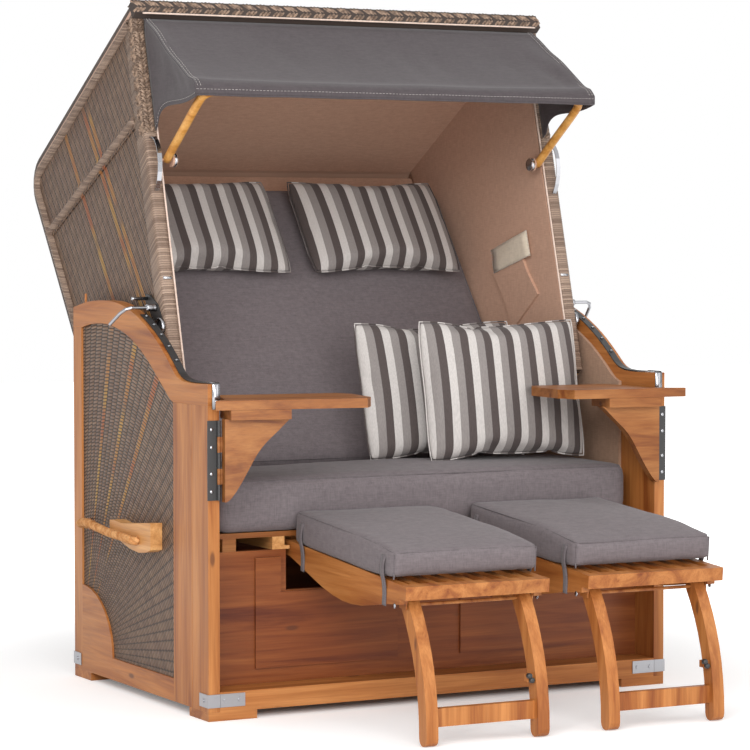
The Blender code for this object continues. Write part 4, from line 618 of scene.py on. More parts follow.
def foam(name, low, high, place, look, crown=0.010, bulge=0.007, corner=0.022, cell=0.012, seed=0.0,
         dip=None, upright=False, toe=0.0):
    """A foam cushion in a sewn cover: crowned top, drawn-in corners, small puckers by the seams.

    low and high are its corners in its own axes, with z as its thickness; place sets it in the frame.
    """
    low, high = Vector(low), Vector(high)
    size = high - low
    middle = (low + high) / 2
    bm = bmesh.new()
    bmesh.ops.create_cube(bm, size=1.0)
    bmesh.ops.scale(bm, vec=size, verts=bm.verts)
    bmesh.ops.translate(bm, vec=middle, verts=bm.verts)
    for axis in range(3):
        cuts = max(2, int(size[axis] / cell))
        for i in range(1, cuts):
            where = low[axis] + size[axis] * i / cuts
            co = Vector((0, 0, 0))
            co[axis] = where
            no = Vector((0, 0, 0))
            no[axis] = 1
            bmesh.ops.bisect_plane(bm, geom=bm.verts[:] + bm.edges[:] + bm.faces[:], plane_co=co, plane_no=no)
    half = size / 2
    for vert in bm.verts:
        p = vert.co - middle
        inner = Vector([max(-h + corner, min(h - corner, c)) for h, c in zip(half, p)])
        away = p - inner
        q = inner + (away.normalized() * corner if away.length > 1e-9 else Vector())
        a, b, c = (q[i] / half[i] for i in range(3))
        lift = crown * (1 - a * a) * (1 - b * b)
        q.z += lift * max(c, 0.0) ** 2
        swell = bulge * (1 - c * c)
        q.x += swell * (1 - b ** 6) * a ** 7
        q.y += swell * (1 - a ** 6) * b ** 7
        seam = min(abs(abs(q.z) - half.z), 0.05) / 0.05
        near = math.exp(-min(half.x - abs(q.x), half.y - abs(q.y)) / 0.05)
        spot = Vector((q.x + seed, q.y, q.z)) * 26
        swells = noise.noise(Vector((q.x + seed, q.y, 0)) * 5.5)
        ripple = noise.noise(spot) * 0.0016 * near + swells * 0.0035 * (c > 0.3)
        q.z += ripple * (1 - seam * 0.3)
        if dip:
            q.z += dip(q.x / half.x, q.y / half.y) * (c + 1) / 2
        q.z += toe * max(0.0, -b - 0.4) ** 2 * max(0.0, -c) / 0.36
        vert.co = q + middle
    mesh = bpy.data.meshes.new(name)
    bm.to_mesh(mesh)
    bm.free()
    mesh.transform(place)
    mesh.shade_smooth()
    mesh.materials.append(look)
    piece = bpy.data.objects.new(name, mesh)
    bpy.context.scene.collection.objects.link(piece)
    r = corner * 0.9
    w, d = half.x - corner * 0.28, half.y - corner * 0.28
    ring = []
    for cx, cy, start in ((w - r, d - r, 0), (-w + r, d - r, 90), (-w + r, -d + r, 180), (w - r, -d + r, 270)):
        for k in range(5):
            a = math.radians(start + 90 * k / 4)
            ring.append(Vector((cx + r * math.cos(a), cy + r * math.sin(a), half.z - corner * 0.28)))
    ring = [ring[i].lerp(ring[(i + 1) % len(ring)], t) for i in range(len(ring)) for t in
            ([0, 0.25, 0.5, 0.75] if (ring[i] - ring[(i + 1) % len(ring)]).length > 0.05 else [0])]
    line = []
    for p in ring:
        a, b = p.x / half.x, p.y / half.y
        raised = crown * (1 - a * a) * (1 - b * b) + (dip(a, b) if dip else 0.0)
        line.append(place @ (p + middle + Vector((0, 0, raised))))
    seam_parts = [tube_parts(line, 0.0018, 6, True)]
    if upright:
        for hand in (-1, 1):
            heights = np.linspace(-half.z + corner * 0.5, half.z - corner * 0.4, 8)
            post = [Vector((hand * w, -d, z)) for z in heights]
            for p in post:
                p.z += dip(p.x / half.x, -1) * (p.z / half.z + 1) / 2 if dip else 0
            seam_parts.append(tube_parts([place @ (p + middle) for p in post], 0.0020, 6))
    seam = make(name + "_seam", *gather(seam_parts), GREY_SEAM, None)
    return piece, seam


# Feather pillows: two sheets blown up by cloth simulation

def pillow(name, size, thick, place, look, body, seed=0.0, frames=12, spread=0.05):
    """A pillow sewn from two sheets and blown up as cloth: sharp corners, puckered edges."""
    width, height = size
    nx, ny = max(18, int(width / 0.0125)), max(14, int(height / 0.0125))
    grid, verts, faces = {}, [], []
    for side in (-1, 1):
        for i in range(nx + 1):
            for j in range(ny + 1):
                rim = i in (0, nx) or j in (0, ny)
                if side > 0 and rim:
                    grid[side, i, j] = grid[-1, i, j]
                    continue
                a, b = 2 * i / nx - 1, 2 * j / ny - 1
                rise = (1 - a ** 4) * (1 - b ** 4) * thick * 0.30
                wobble = 0.0012 * noise.noise(Vector((a * 6 + seed, b * 6, side)))
                grid[side, i, j] = len(verts)
                verts.append(Vector((a * width / 2, b * height / 2, side * (rise + 0.001) + wobble)))
        for i in range(nx):
            for j in range(ny):
                quad = [grid[side, i, j], grid[side, i + 1, j], grid[side, i + 1, j + 1], grid[side, i, j + 1]]
                faces.append(tuple(quad if side > 0 else quad[::-1]))
    piece = make(name, verts, faces, look, None)
    cloth_mod = piece.modifiers.new("cloth", "CLOTH")
    settings = cloth_mod.settings
    settings.quality = 6
    settings.mass = 0.25
    settings.tension_stiffness = 18
    settings.compression_stiffness = 18
    settings.shear_stiffness = 8
    settings.bending_stiffness = 0.6
    settings.use_pressure = True
    settings.uniform_pressure_force = 1.8
    settings.effector_weights.gravity = 0
    cloth_mod.point_cache.frame_start = 1
    cloth_mod.point_cache.frame_end = frames
    for f in range(1, frames + 1):
        bpy.context.scene.frame_set(f)
    graph = bpy.context.evaluated_depsgraph_get()
    done = piece.evaluated_get(graph)
    moved = np.array([v.co for v in done.data.vertices])
    piece.modifiers.clear()
    peak = np.abs(moved[:, 2]).max()
    moved[:, 2] *= thick / peak
    moved[:, 0] *= width / 2 / np.abs(moved[:, 0]).max()
    moved[:, 1] *= height / 2 / np.abs(moved[:, 1]).max()
    a, b = 2 * moved[:, 0] / width, 2 * moved[:, 1] / height
    moved[:, 0] *= 1 + spread * (1 - b ** 4)
    moved[:, 1] *= 1 + spread * (1 - a ** 4)
    piece.data.vertices.foreach_set("co", moved.ravel())
    bpy.context.scene.frame_set(1)
    piece.data.transform(place)
    sub = piece.modifiers.new("smooth", "SUBSURF")
    sub.levels = 1
    sub.render_levels = 1
    piece.data.shade_smooth()
    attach(piece, body)
    rim = [grid[-1, i, 0] for i in range(nx)] + [grid[-1, nx, j] for j in range(ny)]
    rim += [grid[-1, i, ny] for i in range(nx, 0, -1)] + [grid[-1, 0, j] for j in range(ny, 0, -1)]
    welt = [piece.data.vertices[i].co for i in rim]
    make(name + "_edge", *tube_parts(welt, 0.0018, 6, True), look, body)
    return piece


def soft_goods():
    low, high = (Vector(c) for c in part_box("seat_cushion"))
    seat, seam = foam("seat_cushion_cover", low, (high.x, high.y, high.z - 0.012), Matrix.Identity(4), GREY,
                      crown=0.012, bulge=0.006, corner=0.026, cell=0.014, seed=2.0)
    for piece in (seat, seam):
        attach(piece, "base")
    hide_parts("seat_cushion")
    turned = HOOD @ Matrix.Rotation(math.radians(90), 4, "X")
    face, foot, top, rear = -0.124, 0.034, 0.885, -0.0135
    back, seam = foam("back_cushion_cover", (-0.52, foot, -rear), (0.52, top, -face), turned, GREY,
                      crown=0.014, bulge=0.005, corner=0.030, cell=0.016, seed=5.0)
    for piece in (back, seam):
        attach(piece, "hood")
    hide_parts("back_cushion")
    for word, side in SIDES:
        place = pad_place(word)
        pad, seam = foam(word + "_pad_cover", (-0.181, -0.540, 0.0075), (0.181, -0.056, 0.0835), place, GREY,
                         crown=0.010, bulge=0.005, corner=0.014, cell=0.010, seed=7.0 + side, dip=pad_sag,
                         upright=True, toe=0.012)
        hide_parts(word + "_footrest_pad")
        pieces = [pad, seam] + pad_straps(word, place)
        for piece in pieces:
            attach(piece, word + "_footrest_frame")
            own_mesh(piece)
    for word, x, seed in (("left", -0.245, 1.0), ("right", 0.250, 3.0)):
        face = -0.122 - 0.014 - 0.050 + 0.0078
        place = HOOD @ Matrix.Translation((x, face, 0.713)) @ Matrix.Rotation(math.pi / 2, 4, "X")
        look = stripes(word + "_headrest_stripes", STRIPE_PERIOD, 0.02 + seed * 0.03)
        piece = pillow(word + "_headrest_pillow", (0.42, 0.29), 0.049, place, look, "hood", seed)
        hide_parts(word + "_headrest")
    for name, x, y, lean, drop, seed in (("rear", 0.188, -0.078, 15.0, 0.0025, 4.0),
                                         ("front", 0.298, -0.184, 11.0, 0.0015, 6.0)):
        turn = Matrix.Rotation(math.radians(90 - lean), 4, "X")
        top = 0.5503 - drop
        place = Matrix.Translation((x, y + SHIFT, top)) @ turn @ Matrix.Translation((0, 0.171, 0))
        look = stripes(name + "_throw_stripes", STRIPE_PERIOD, 0.03 + seed * 0.01)
        piece = pillow(name + "_throw", (0.432, 0.342), 0.047, place, look, "base", seed)
        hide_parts(name + "_throw_pillow")


def pad_sag(across, along):
    """How far the top of a footrest pad falls towards its front."""
    return -0.010 * max(0.0, -along) ** 3


def pad_place(word):
    joint = Vector(JOINTS[word + "_footrest_tilt"]["pos_m"])
    return Matrix.Translation(joint) @ Matrix.Rotation(TILT, 4, "X")


def strap(name, path, width, across, look=None, body=None):
    """A flat band 1.6 mm thick along a path."""
    pts = [Vector(p) for p in path]
    half = Vector(across).normalized() * width / 2
    verts, faces = [], []
    for i, p in enumerate(pts):
        ahead = pts[min(i + 1, len(pts) - 1)]
        behind = pts[max(i - 1, 0)]
        normal = (ahead - behind).cross(half).normalized() * 0.0008
        verts += [p - half - normal, p + half - normal, p + half + normal, p - half + normal]
    for i in range(len(pts) - 1):
        a, b = i * 4, i * 4 + 4
        for k in range(4):
            m = (k + 1) % 4
            faces.append((a + k, a + m, b + m, b + k))
    faces += [(3, 2, 1, 0), tuple(len(verts) - 4 + k for k in range(4))]
    return make(name, verts, faces, look or GREY_SEAM, body)


STRAP_LINE = ((0.1835, 0.062), (0.1880, 0.042), (0.1872, 0.020), (0.1825, 0.003), (0.1795, -0.020),
              (0.1793, -0.050))


def pad_straps(word, place):
    """Two straps on each side that hold the pad round the frame's rails."""
    made = []
    across = place.to_3x3() @ Vector((0, 1, 0))
    for hand, side in SIDES:
        for number, y in (("rear", -0.100), ("front", -0.500)):
            path = [(side * x, y, z) for x, z in STRAP_LINE]
            line = [place @ Vector(p) for p in smooth_path(path, 3)]
            made.append(strap(f"{word}_pad_{hand}_{number}_strap", line, 0.017, across))
    return made


# Awning

HEM_DROP = 0.0195
AWNING_PIVOT = (-0.586, 0.603)
AWNING_BAR = (-0.854, 0.595)
AWNING_EDGE_W = 0.915
AWNING_HALF = 0.540
ROD_RADIUS = 0.0102


def awning():
    edge = Vector((front_u(AWNING_EDGE_W) - 0.030, AWNING_EDGE_W))
    bar = Vector(AWNING_PIVOT) + Vector((-0.268, -0.008))
    hem = bar + Vector((-0.0140, 0.0))
    run = hem - edge
    up = Vector((run.y, -run.x)).normalized()
    up = up if up.y > 0 else -up
    half = AWNING_HALF
    across, along = 72, 26
    wall = Vector((front_u(0.665) - 0.030, 0.665))
    down = Vector((0.602, -0.799))

    def top_point(s, t):
        sag = 0.016 * math.sin(math.pi * t) * (1 - s ** 4)
        fold = 0.006 * math.sin(math.pi * t) * noise.noise(Vector((s * 3.1, t * 0.8, 4.0)))
        fold += 0.0035 * math.sin(math.pi * min(t * 1.2, 1)) * noise.noise(Vector((s * 9.0, t * 2.0, 8.0)))
        corner = max(0.0, abs(s) - 0.82) / 0.18
        fold += 0.010 * corner * math.sin(math.pi * t) * noise.noise(Vector((s * 14, t * 3.0, 1.0)))
        roll = 0.007 * math.exp(-((t - 0.93) / 0.05) ** 2)
        p = edge + run * t + up * (fold - sag + roll)
        return Vector((half * s, p.x, p.y))

    rows = []
    for i in range(along + 1):
        t = i / along
        rows.append([top_point(2 * k / across - 1, t) for k in range(across + 1)])
    for drop in (0.006, 0.012, HEM_DROP):
        row = []
        for k in range(across + 1):
            p = rows[along][k].copy()
            p.y += down.x * drop
            p.z += down.y * drop
            p.y += 0.0016 * noise.noise(Vector((p.x * 9, drop * 60, 3)))
            row.append(p)
        rows.append(row)
    deep = 10
    verts, index = [], {}
    for i, row in enumerate(rows):
        for k, p in enumerate(row):
            index["top", i, k] = len(verts)
            verts.append(in_hood(*p))
    faces = grid_faces(len(rows) - 1, across)
    hem_low = Vector((hem.x, hem.y)) + down * HEM_DROP
    lowers = []
    for word, side in SIDES:
        column = 0 if side < 0 else across
        line = []
        flap = []
        for v in range(deep + 1):
            w = edge.y - 0.012 + (wall.y - edge.y + 0.012) * v / deep
            flap.append(len(verts))
            verts.append(in_hood(side * (half - 0.003), face_u(w) - 0.008, w))
        for i in range(along + 1):
            t = i / along
            top = rows[i][column]
            arch = 0.040 * math.sin(math.pi * min(1.0, t ** 0.55)) * (1 - t)
            low = wall.lerp(hem_low, t) - down * arch
            for v in range(1, deep + 1):
                s = v / deep
                u = top.y + (low.x - top.y) * s
                w = top.z + (low.y - top.z) * s
                puff = 0.012 * math.sin(math.pi * s) * math.sin(math.pi * min(1, t * 1.1 + 0.05))
                puff += 0.006 * noise.noise(Vector((t * 5, s * 4, side * 3.0))) * math.sin(math.pi * s)
                x = top.x - side * (puff * 0.6) - side * 0.002
                index[word, i, v] = len(verts)
                verts.append(in_hood(x, u, w))
                if v == deep:
                    line.append(in_hood(x, u, w))
            index[word, i, 0] = index["top", i, column]
        for v in range(deep):
            quad = (flap[v], index[word, 0, v], index[word, 0, v + 1], flap[v + 1])
            faces.append(quad if side > 0 else quad[::-1])
        lowers.append([verts[flap[deep]]] + line)
        for i in range(along):
            for v in range(deep):
                quad = tuple(index[word, i + a, v + b] for a, b in ((0, 0), (1, 0), (1, 1), (0, 1)))
                faces.append(quad if side > 0 else quad[::-1])
    canopy = make("awning_cloth_sheet", verts, faces, AWNING, None)
    solid = canopy.modifiers.new("thickness", "SOLIDIFY")
    solid.thickness = 0.0016
    solid.offset = 0.0
    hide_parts("awning_canopy")
    start, end = in_hood(0, edge.x, edge.y), in_hood(0, hem.x, hem.y)
    tuple(start)
    tuple(end)
    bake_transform(canopy)
    trims = []
    for (word, side), line in zip(SIDES, lowers):
        column = 0 if side < 0 else across
        seam = [verts[index["top", i, column]] for i in range(len(rows))]
        trims.append(make(f"awning_{word}_seam", *tube_parts(seam, 0.0016, 6), AWNING, None))
        for number, off in (("outer", 0.005), ("inner", 0.013)):
            beside = [p + Vector((-side * off, 0, 0.0016)) for p in seam]
            trims.append(make(f"awning_{word}_{number}_stitch", *stitches(beside), STITCH, None))
        trims.append(make(f"awning_{word}_hem", *tube_parts(line, 0.0016, 6), AWNING, None))
        trims.append(make(f"awning_{word}_hem_stitch",
                          *stitches([p + Vector((side * 0.0012, 0, 0.008)) for p in line]), STITCH, None))
    hem_line = [verts[index["top", len(rows) - 1, k]] for k in range(across + 1)]
    trims.append(make("awning_front_hem", *tube_parts(hem_line, 0.0018, 6), AWNING, None))
    lines = [verts[index["top", along + 1, k]] + Vector((0, -0.0016, 0.0)) for k in range(across + 1)]
    trims.append(make("awning_front_stitch", *stitches(lines), STITCH, None))
    for trim in trims:
        tuple(start)
        tuple(end)
        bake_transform(trim)


def awning_rods():
    """The awning's round rod: an arm on each side and the bar between them, bent in one piece."""
    pivot, bar = AWNING_PIVOT, AWNING_BAR
    x = 0.513
    bend = 0.035
    corner = [(-x, *pivot), (-x, pivot[0] - 0.10, pivot[1] - 0.003), (-x, bar[0] + bend, bar[1]),
              (-x + 0.010, bar[0] + 0.010, bar[1]), (-x + bend, bar[0], bar[1]), (-x + 0.10, bar[0], bar[1])]
    route = corner + [(-x_, u, w) for x_, u, w in corner[::-1]]
    path = resampled(smooth_path([in_hood(*p) for p in route], 8), 0.012)
    piece = make("awning_rod", *tube_parts(path, ROD_RADIUS, 16), BOW_WOOD, "awning")
    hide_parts("awning_bow")


def stitches(line, step=0.009, radius=0.0006):
    """Short dashes of thread along a line."""
    pts = resampled(line, step / 2)
    parts = []
    for i in range(0, len(pts) - 1, 2):
        a, b = pts[i], pts[i + 1]
        parts.append(tube_parts([a.lerp(b, 0.1), a.lerp(b, 1.3)], radius, 4))
    return gather(parts)


# Wicker trim

def lozenge(centre, along, out, length, width, height):
    """One flat strand end of a plait: a raised almond."""
    along, out = along.normalized(), out.normalized()
    across = along.cross(out).normalized()
    verts = []
    n, m = 6, 4
    for i in range(n + 1):
        t = i / n
        taper = math.sin(math.pi * (0.12 + 0.76 * t))
        for k in range(m + 1):
            s = 2 * k / m - 1
            rise = height * math.cos(s * math.pi / 2 * 0.92) * taper
            beside = across * s * width / 2 * (0.55 + 0.45 * taper)
            verts.append(centre + along * (t - 0.5) * length + beside + out * rise)
    return verts, grid_faces(n, m)


def plait(name, path, out, width, pitch=0.0092):
    """A herringbone plait on the hood, in bundles of three strands; out points out of its face."""
    pts = resampled(path, pitch)
    parts = []
    for i, p in enumerate(pts):
        ahead = (pts[min(i + 1, len(pts) - 1)] - pts[max(i - 1, 0)]).normalized()
        across = ahead.cross(out).normalized()
        rise, wide = ((0.0046, 0.0076), (0.0062, 0.0084), (0.0046, 0.0076), (0.0010, 0.0040))[i % 4]
        for side in (-1, 1):
            lean = ahead * 0.74 + across * side * -0.67
            centre = p + across * side * width * 0.24 - out * 0.001
            parts.append(lozenge(centre, lean, out, width * 0.60, wide, rise))
    return make(name, *gather(parts), STRAND, "hood")


def strand_look(name):
    look = Look(name, 0.5, specular=0.35)
    base = look.noise(look.mapped(), 90.0, 2.0)
    fine = look.noise(look.mapped(), 420.0, 3.0)
    colour = look.mix(look.smooth(base, 0.35, 0.65), srgb(100, 80, 66), srgb(158, 132, 112))
    colour = look.shaded(colour, 0.5, fine, (0.3, (0.6, 0.6, 0.6)), (0.7, (1.1, 1.1, 1.1)))
    return look.finish(colour, look.bump(fine, 0.0006, 0.8))


STRAND = strand_look("plait_strand")
SHADE = paint("shade_between_strands", srgb(48, 37, 31), 0.8)
WOUND_POST = wound("wound_post", True)
WOUND_ROLL = wound("wound_roll", False)


def wicker_trim():
    top = roof_w(HOOD_FRONT_U)
    u0 = HOOD_FRONT_U - GAP - 0.024
    out_front = HOOD.to_3x3() @ Vector((0, -1, 0))
    out_up = HOOD.to_3x3() @ Vector((0, 0, 1))
    reach = 0.563
    plait_reach = 0.558
    braid_line = [in_hood(x, u0 + 0.003, top - 0.018) for x in (-plait_reach, plait_reach)]
    piece = plait("hood_plait", braid_line, out_front, 0.040)
    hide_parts("hood_front_braid")
    crest = [in_hood(x, HOOD_FRONT_U - 0.010, top + 0.0005) for x in (-plait_reach, plait_reach)]
    plait("hood_plait_top", crest, out_up, 0.030)
    verts, faces = [], []
    ring = ((u0 + 0.002, top - 0.038), (u0 + 0.002, top + 0.001),
            (HOOD_FRONT_U, top + 0.002), (HOOD_FRONT_U, top - 0.038))
    for x in (-reach, reach):
        verts += [in_hood(x, u, w) for u, w in ring]
    for k in range(4):
        m = (k + 1) % 4
        faces.append((k, m, m + 4, k + 4))
    faces += [(3, 2, 1, 0), (4, 5, 6, 7)]
    make("hood_plait_core", verts, faces, SHADE, "hood", False)
    pipe = [in_hood(x, u0 + 0.0005, top - 0.0405) for x in np.linspace(-0.545, 0.545, 30)]
    make("hood_edge_piping", *tube_parts(pipe, 0.0022, 6), PIPING, "hood")
    for word, side in SIDES:
        low_w, high_w = top - 0.30, top - 0.035
        line = [in_hood(side * 0.548, face_u(w) - 0.0015, w) for w in (high_w, low_w)]
        plait(f"hood_{word}_front_plait", line, out_front, 0.026)
        outer = [in_hood(side * (HOOD_HALF + 0.0035), face_u(w) + 0.016, w) for w in (high_w, low_w)]
        plait(f"hood_{word}_side_plait", outer, Vector((side, 0, 0)), 0.030)
        trim = [in_hood(side * 0.5295, face_u(w) - 0.0015, w) for w in np.linspace(HOOD_BOTTOM, top - 0.03, 30)]
        make(f"hood_{word}_lining_piping", *tube_parts(trim, 0.0024, 6), PIPING, "hood")
        band_ribs(word, side, top - 0.30)
        edge_roll(word, side)
        diagonal_roll(word, side)
    lining_edge = [in_hood(x, HOOD_FRONT_U + 0.010, top - 0.0275) for x in np.linspace(-0.525, 0.525, 12)]
    make("roof_lining_piping", *tube_parts(lining_edge, 0.0022, 6), PIPING, "hood")


def band_ribs(word, side, high):
    """Strands wound round the front post: ridges over the band and round its front face."""
    section = ((HOOD_INNER + 0.001, 0.004), (HOOD_INNER + 0.001, -0.0005), (HOOD_INNER + 0.012, -0.002),
               (HOOD_HALF - 0.002, -0.002), (HOOD_HALF + 0.0032, 0.001), (HOOD_HALF + 0.0036, 0.018),
               (HOOD_HALF + 0.0036, BAND * 0.6), (HOOD_HALF + 0.0030, BAND - 0.004), (HOOD_HALF + 0.0008, BAND))
    count = int((high - HOOD_BOTTOM) / WRAP_PITCH) * 4
    verts = []
    for i in range(count + 1):
        w = HOOD_BOTTOM + (high - HOOD_BOTTOM) * i / count
        ridge = abs(math.sin(math.pi * i / 4)) * 0.0010
        for x, back in section:
            out = Vector((1 if back > 0 else 0.3, -1 if back <= 0.001 else 0))
            verts.append(in_hood(side * (x + ridge * out.x), face_u(w) + back + ridge * out.y, w))
    make(f"hood_{word}_post_winding", verts, grid_faces(count, len(section) - 1), WOUND_POST, "hood")


def wound_roll(name, path, core, ridge):
    """A roll with the ridges of the strands wound round it, one ridge to four points of the path."""
    def radius(i):
        return core + ridge * abs(math.sin(math.pi * i / 4))
    make(name, *tube_parts(path, radius, 12), WOUND_ROLL, "hood")


def edge_roll(word, side):
    """The wound roll along the roof's side edge and down the back."""
    inset = 0.024 + GAP + 0.011
    arc = []
    centre = (HOOD_BACK - KNEE, HOOD_TOP - KNEE)
    start = math.pi / 2 + FALL_ANGLE
    for i in range(7):
        a = start * (1 - i / 6)
        arc.append((centre[0] + (KNEE - inset) * math.cos(a), centre[1] + (KNEE - inset) * math.sin(a)))
    first = (HOOD_FRONT_U + 0.024, roof_w(HOOD_FRONT_U + 0.024) - inset / math.cos(FALL_ANGLE))
    line = [first, *arc, (HOOD_BACK - inset, HOOD_BOTTOM + 0.885 / 2)]
    path = resampled([in_hood(side * HOOD_HALF, u, w) for u, w in line], 0.0015)
    wound_roll(f"hood_{word}_edge_winding", path, 0.0113, 0.0011)


def diagonal_roll(word, side):
    """The wound roll that crosses the side below the roof."""
    low_w, high_w = 0.727, 0.849
    ends = [in_hood(side * (HOOD_HALF + 0.001), u, w) for u, w in
            ((front_u(low_w) + BAND - 0.004, low_w), (BACK_SKIN_FRONT - 0.012, high_w))]
    path = resampled(ends, 0.0013)
    wound_roll(f"hood_{word}_diagonal_winding", path, 0.0102, 0.0009)


# Rope handles

ROPE_ROUTE = (
    (0.0135, 0.3050, 0.3860), (0.0290, 0.3040, 0.3860), (0.0440, 0.2930, 0.3895), (0.0530, 0.2640, 0.3960),
    (0.0570, 0.2150, 0.3990), (0.0570, 0.1500, 0.3930), (0.0570, 0.0800, 0.3870), (0.0570, 0.0100, 0.3850),
    (0.0570, -0.0470, 0.3810), (0.0550, -0.0543, 0.3805), (0.0500, -0.0597, 0.3800), (0.0437, -0.0607, 0.3800))

ROPE_STEP = 0.0022
ROPE_LAY = 0.046


def rope_look():
    look = Look("orange_rope", 0.7, specular=0.25)
    fibre = look.noise(look.mapped(), 600.0, 3.0)
    patch = look.noise(look.mapped(), 60.0, 2.0)
    colour = look.mix(look.smooth(patch, 0.3, 0.7), srgb(186, 126, 72), srgb(222, 168, 112))
    colour = look.shaded(colour, 0.7, fibre, (0.3, (0.62, 0.55, 0.5)), (0.7, (1.08, 1.08, 1.08)))
    return look.finish(colour, look.bump(fibre, 0.0007, 0.8))


def ropes():
    look = rope_look()
    for word, side in SIDES:
        base = 0.605 - 0.012
        route = [(side * (base + x), y + SHIFT, z) for x, y, z in ROPE_ROUTE]
        path = resampled(smooth_path(route, 6), ROPE_STEP)
        parts = []
        for strand in range(3):
            line = []
            for i, (p, normal, cross) in enumerate(frames_along(path)):
                a = math.tau * (strand / 3 + i * ROPE_STEP / ROPE_LAY)
                line.append(p + (normal * math.cos(a) + cross * math.sin(a)) * 0.0051)
            parts.append(tube_parts(line, 0.0056, 10))
        piece = make(f"{word}_rope_strands", *gather(parts), look, "base")
        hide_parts(word + "_handle_rope")
        collar = [(side * 0.6055, 0.305 + SHIFT, 0.386), (side * 0.6085, 0.305 + SHIFT, 0.386)]
        make(f"{word}_rope_collar", *tube_parts(collar, 0.0145, 16), POST_WOOD, "base")


# Small hardware

def disc_parts(centre, axis, radius, depth, sides=18, bevel=0.0):
    axis = Vector(axis).normalized()
    path = [Vector(centre), Vector(centre) + axis * (depth - bevel), Vector(centre) + axis * depth]
    sizes = (radius, radius, radius - bevel)
    return tube_parts(path, lambda i: sizes[i], sides)


def hardware():
    for word, side in SIDES:
        plate = HOOD_HALF + 0.003 + GAP + 0.003
        u, w = -0.419, 0.291
        barrel = [in_hood(side * (plate + 0.0002 + d), u, w) for d in (0, 0.003, 0.006, 0.010, 0.020, 0.0245)]
        sizes = (0.0092, 0.0092, 0.0085, 0.0086, 0.0086, 0.0078)
        make(f"{word}_lock_barrel", *tube_parts(barrel, lambda i: sizes[i], 18), CHROME, "hood")
        pin = [in_hood(side * (plate + d), -0.392, 0.337) for d in (0, 0.036, 0.0405, 0.041)]
        sizes_pin = (0.0044, 0.0044, 0.0042, 0.0020)
        make(f"{word}_stop_pin_cover", *tube_parts(pin, lambda i: sizes_pin[i], 12), CHROME, "hood")
        ring_w = w - 0.055
        cu = front_u(ring_w) + 0.021
        circle = []
        for k in range(24):
            a = math.tau * k / 24
            circle.append((cu + 0.0205 * math.cos(a), ring_w + 0.0205 * math.sin(a)))
        verts, faces = [], []
        for x in (plate - 0.0005, plate + 0.0072):
            for r in (1.0, 0.88):
                verts += [in_hood(side * x, cu + (a - cu) * r * 1.03, ring_w + (b - ring_w) * r * 1.03)
                          for a, b in circle]
        n = 24
        for k in range(n):
            m = (k + 1) % n
            faces += [(k, m, 2 * n + m, 2 * n + k), (n + k, 3 * n + k, 3 * n + m, n + m),
                      (2 * n + k, 2 * n + m, 3 * n + m, 3 * n + k), (k, n + k, n + m, m)]
        make(f"{word}_latch_ring_cover", verts, faces, CHROME, "hood")
        strap_x = side * (0.582 + 0.009)
        front = BASE_FRONT - GAP - 0.002
        path = [(strap_x, front + y, z) for y, z in ((-0.0008, 0.705), (-0.0008, 0.735), (-0.0006, 0.7600),
                                                     (0.004, 0.7655), (0.034, 0.7662))]
        strap(f"{word}_post_strap", path, 0.0185, (1, 0, 0), CHROME, "base")
        parts = []
        first, end = -0.4 + 0.8 * 0.24, -0.4 + 0.8 * 0.51
        for i in range(5):
            y = first + (end - first) * (i + 0.5) / 5
            z = arch_z(y) + GAP * 6 + 0.0035
            parts.append(disc_parts((side * 0.591, y + SHIFT, z), (0, 0.5, 1), 0.0046, 0.0022, 12, 0.001))
        parts.append(disc_parts((strap_x, front - 0.0012, 0.722), (0, -1, 0), 0.0045, 0.0018, 12, 0.0008))
        make(f"{word}_rack_studs", *gather(parts), CHROME, "base")
        hinge = [disc_parts((side * 0.602, BASE_FRONT - 0.0021, z), (0, -1, 0), 0.0042, 0.0013, 12, 0.0006)
                 for z in (0.520, 0.560, 0.620, 0.660)]
        make(f"{word}_hinge_screws", *gather(hinge), CHROME, "base")
        knob = disc_parts(in_hood(side * 0.498, *AWNING_PIVOT), (-side, 0, 0), 0.0172, 0.0094, 20, 0.003)
        make(f"{word}_awning_knob", *knob, CHROME, "hood")
        tab = [in_hood(side * x, front_u(0.335) - 0.0042, 0.335) for x in (0.536, 0.558)]
        strap(f"{word}_frame_tab", tab, 0.012, HOOD.to_3x3() @ Vector((0, 0, 1)), CHROME, "hood")
        c = JOINTS[word + "_legs_fold"]["pos_m"]
        y, z = clip_place(word)
        clip = [disc_parts((c[0] + 0.1175 - k * 0.006, y, z + k * 0.010), (0, -1, 0), 0.0062, 0.010, 12, 0.002)
                for k in range(2)]
        make(f"{word}_leg_clip_cover", *gather(clip), BLACK, word + "_footrest_legs")
        bolt = [disc_parts((c[0] + d * 0.178, c[1], c[2]), (d, 0, 0), 0.0055, 0.0025, 14, 0.001)
                for d in (-1, 1)]
        make(f"{word}_axle_bolts", *gather(bolt), CHROME, word + "_footrest_frame")


def clip_place(word):
    """The front of the clip block on the right leg, from the part's own shape."""
    part = NODES[word + "_footrest_legs"]
    x = JOINTS[word + "_legs_fold"]["pos_m"][0]
    points = [part.matrix_world @ v.co for v in part.data.vertices]
    block = [p for p in points if 0.100 < p.x - x < 0.116 and p.z > 0.12]
    return min(p.y for p in block) + 0.001, sum(p.z for p in block) / len(block) - 0.004


ARCH_UPPER = ((0.000, 0.00), (0.105, -0.01), (0.165, 0.00), (0.200, 0.03), (0.228, 0.09), (0.265, 0.22),
              (0.330, 0.43), (0.395, 0.60), (0.470, 0.76), (0.540, 0.87), (0.620, 0.96), (0.700, 1.00))


def arch_z(y):
    share = (y + 0.4) / 0.8
    for (a, b), (c, d) in zip(ARCH_UPPER, ARCH_UPPER[1:]):
        if a <= share <= c:
            return 0.762 + 0.175 * (b + (d - b) * (share - a) / (c - a))
    return 0.937


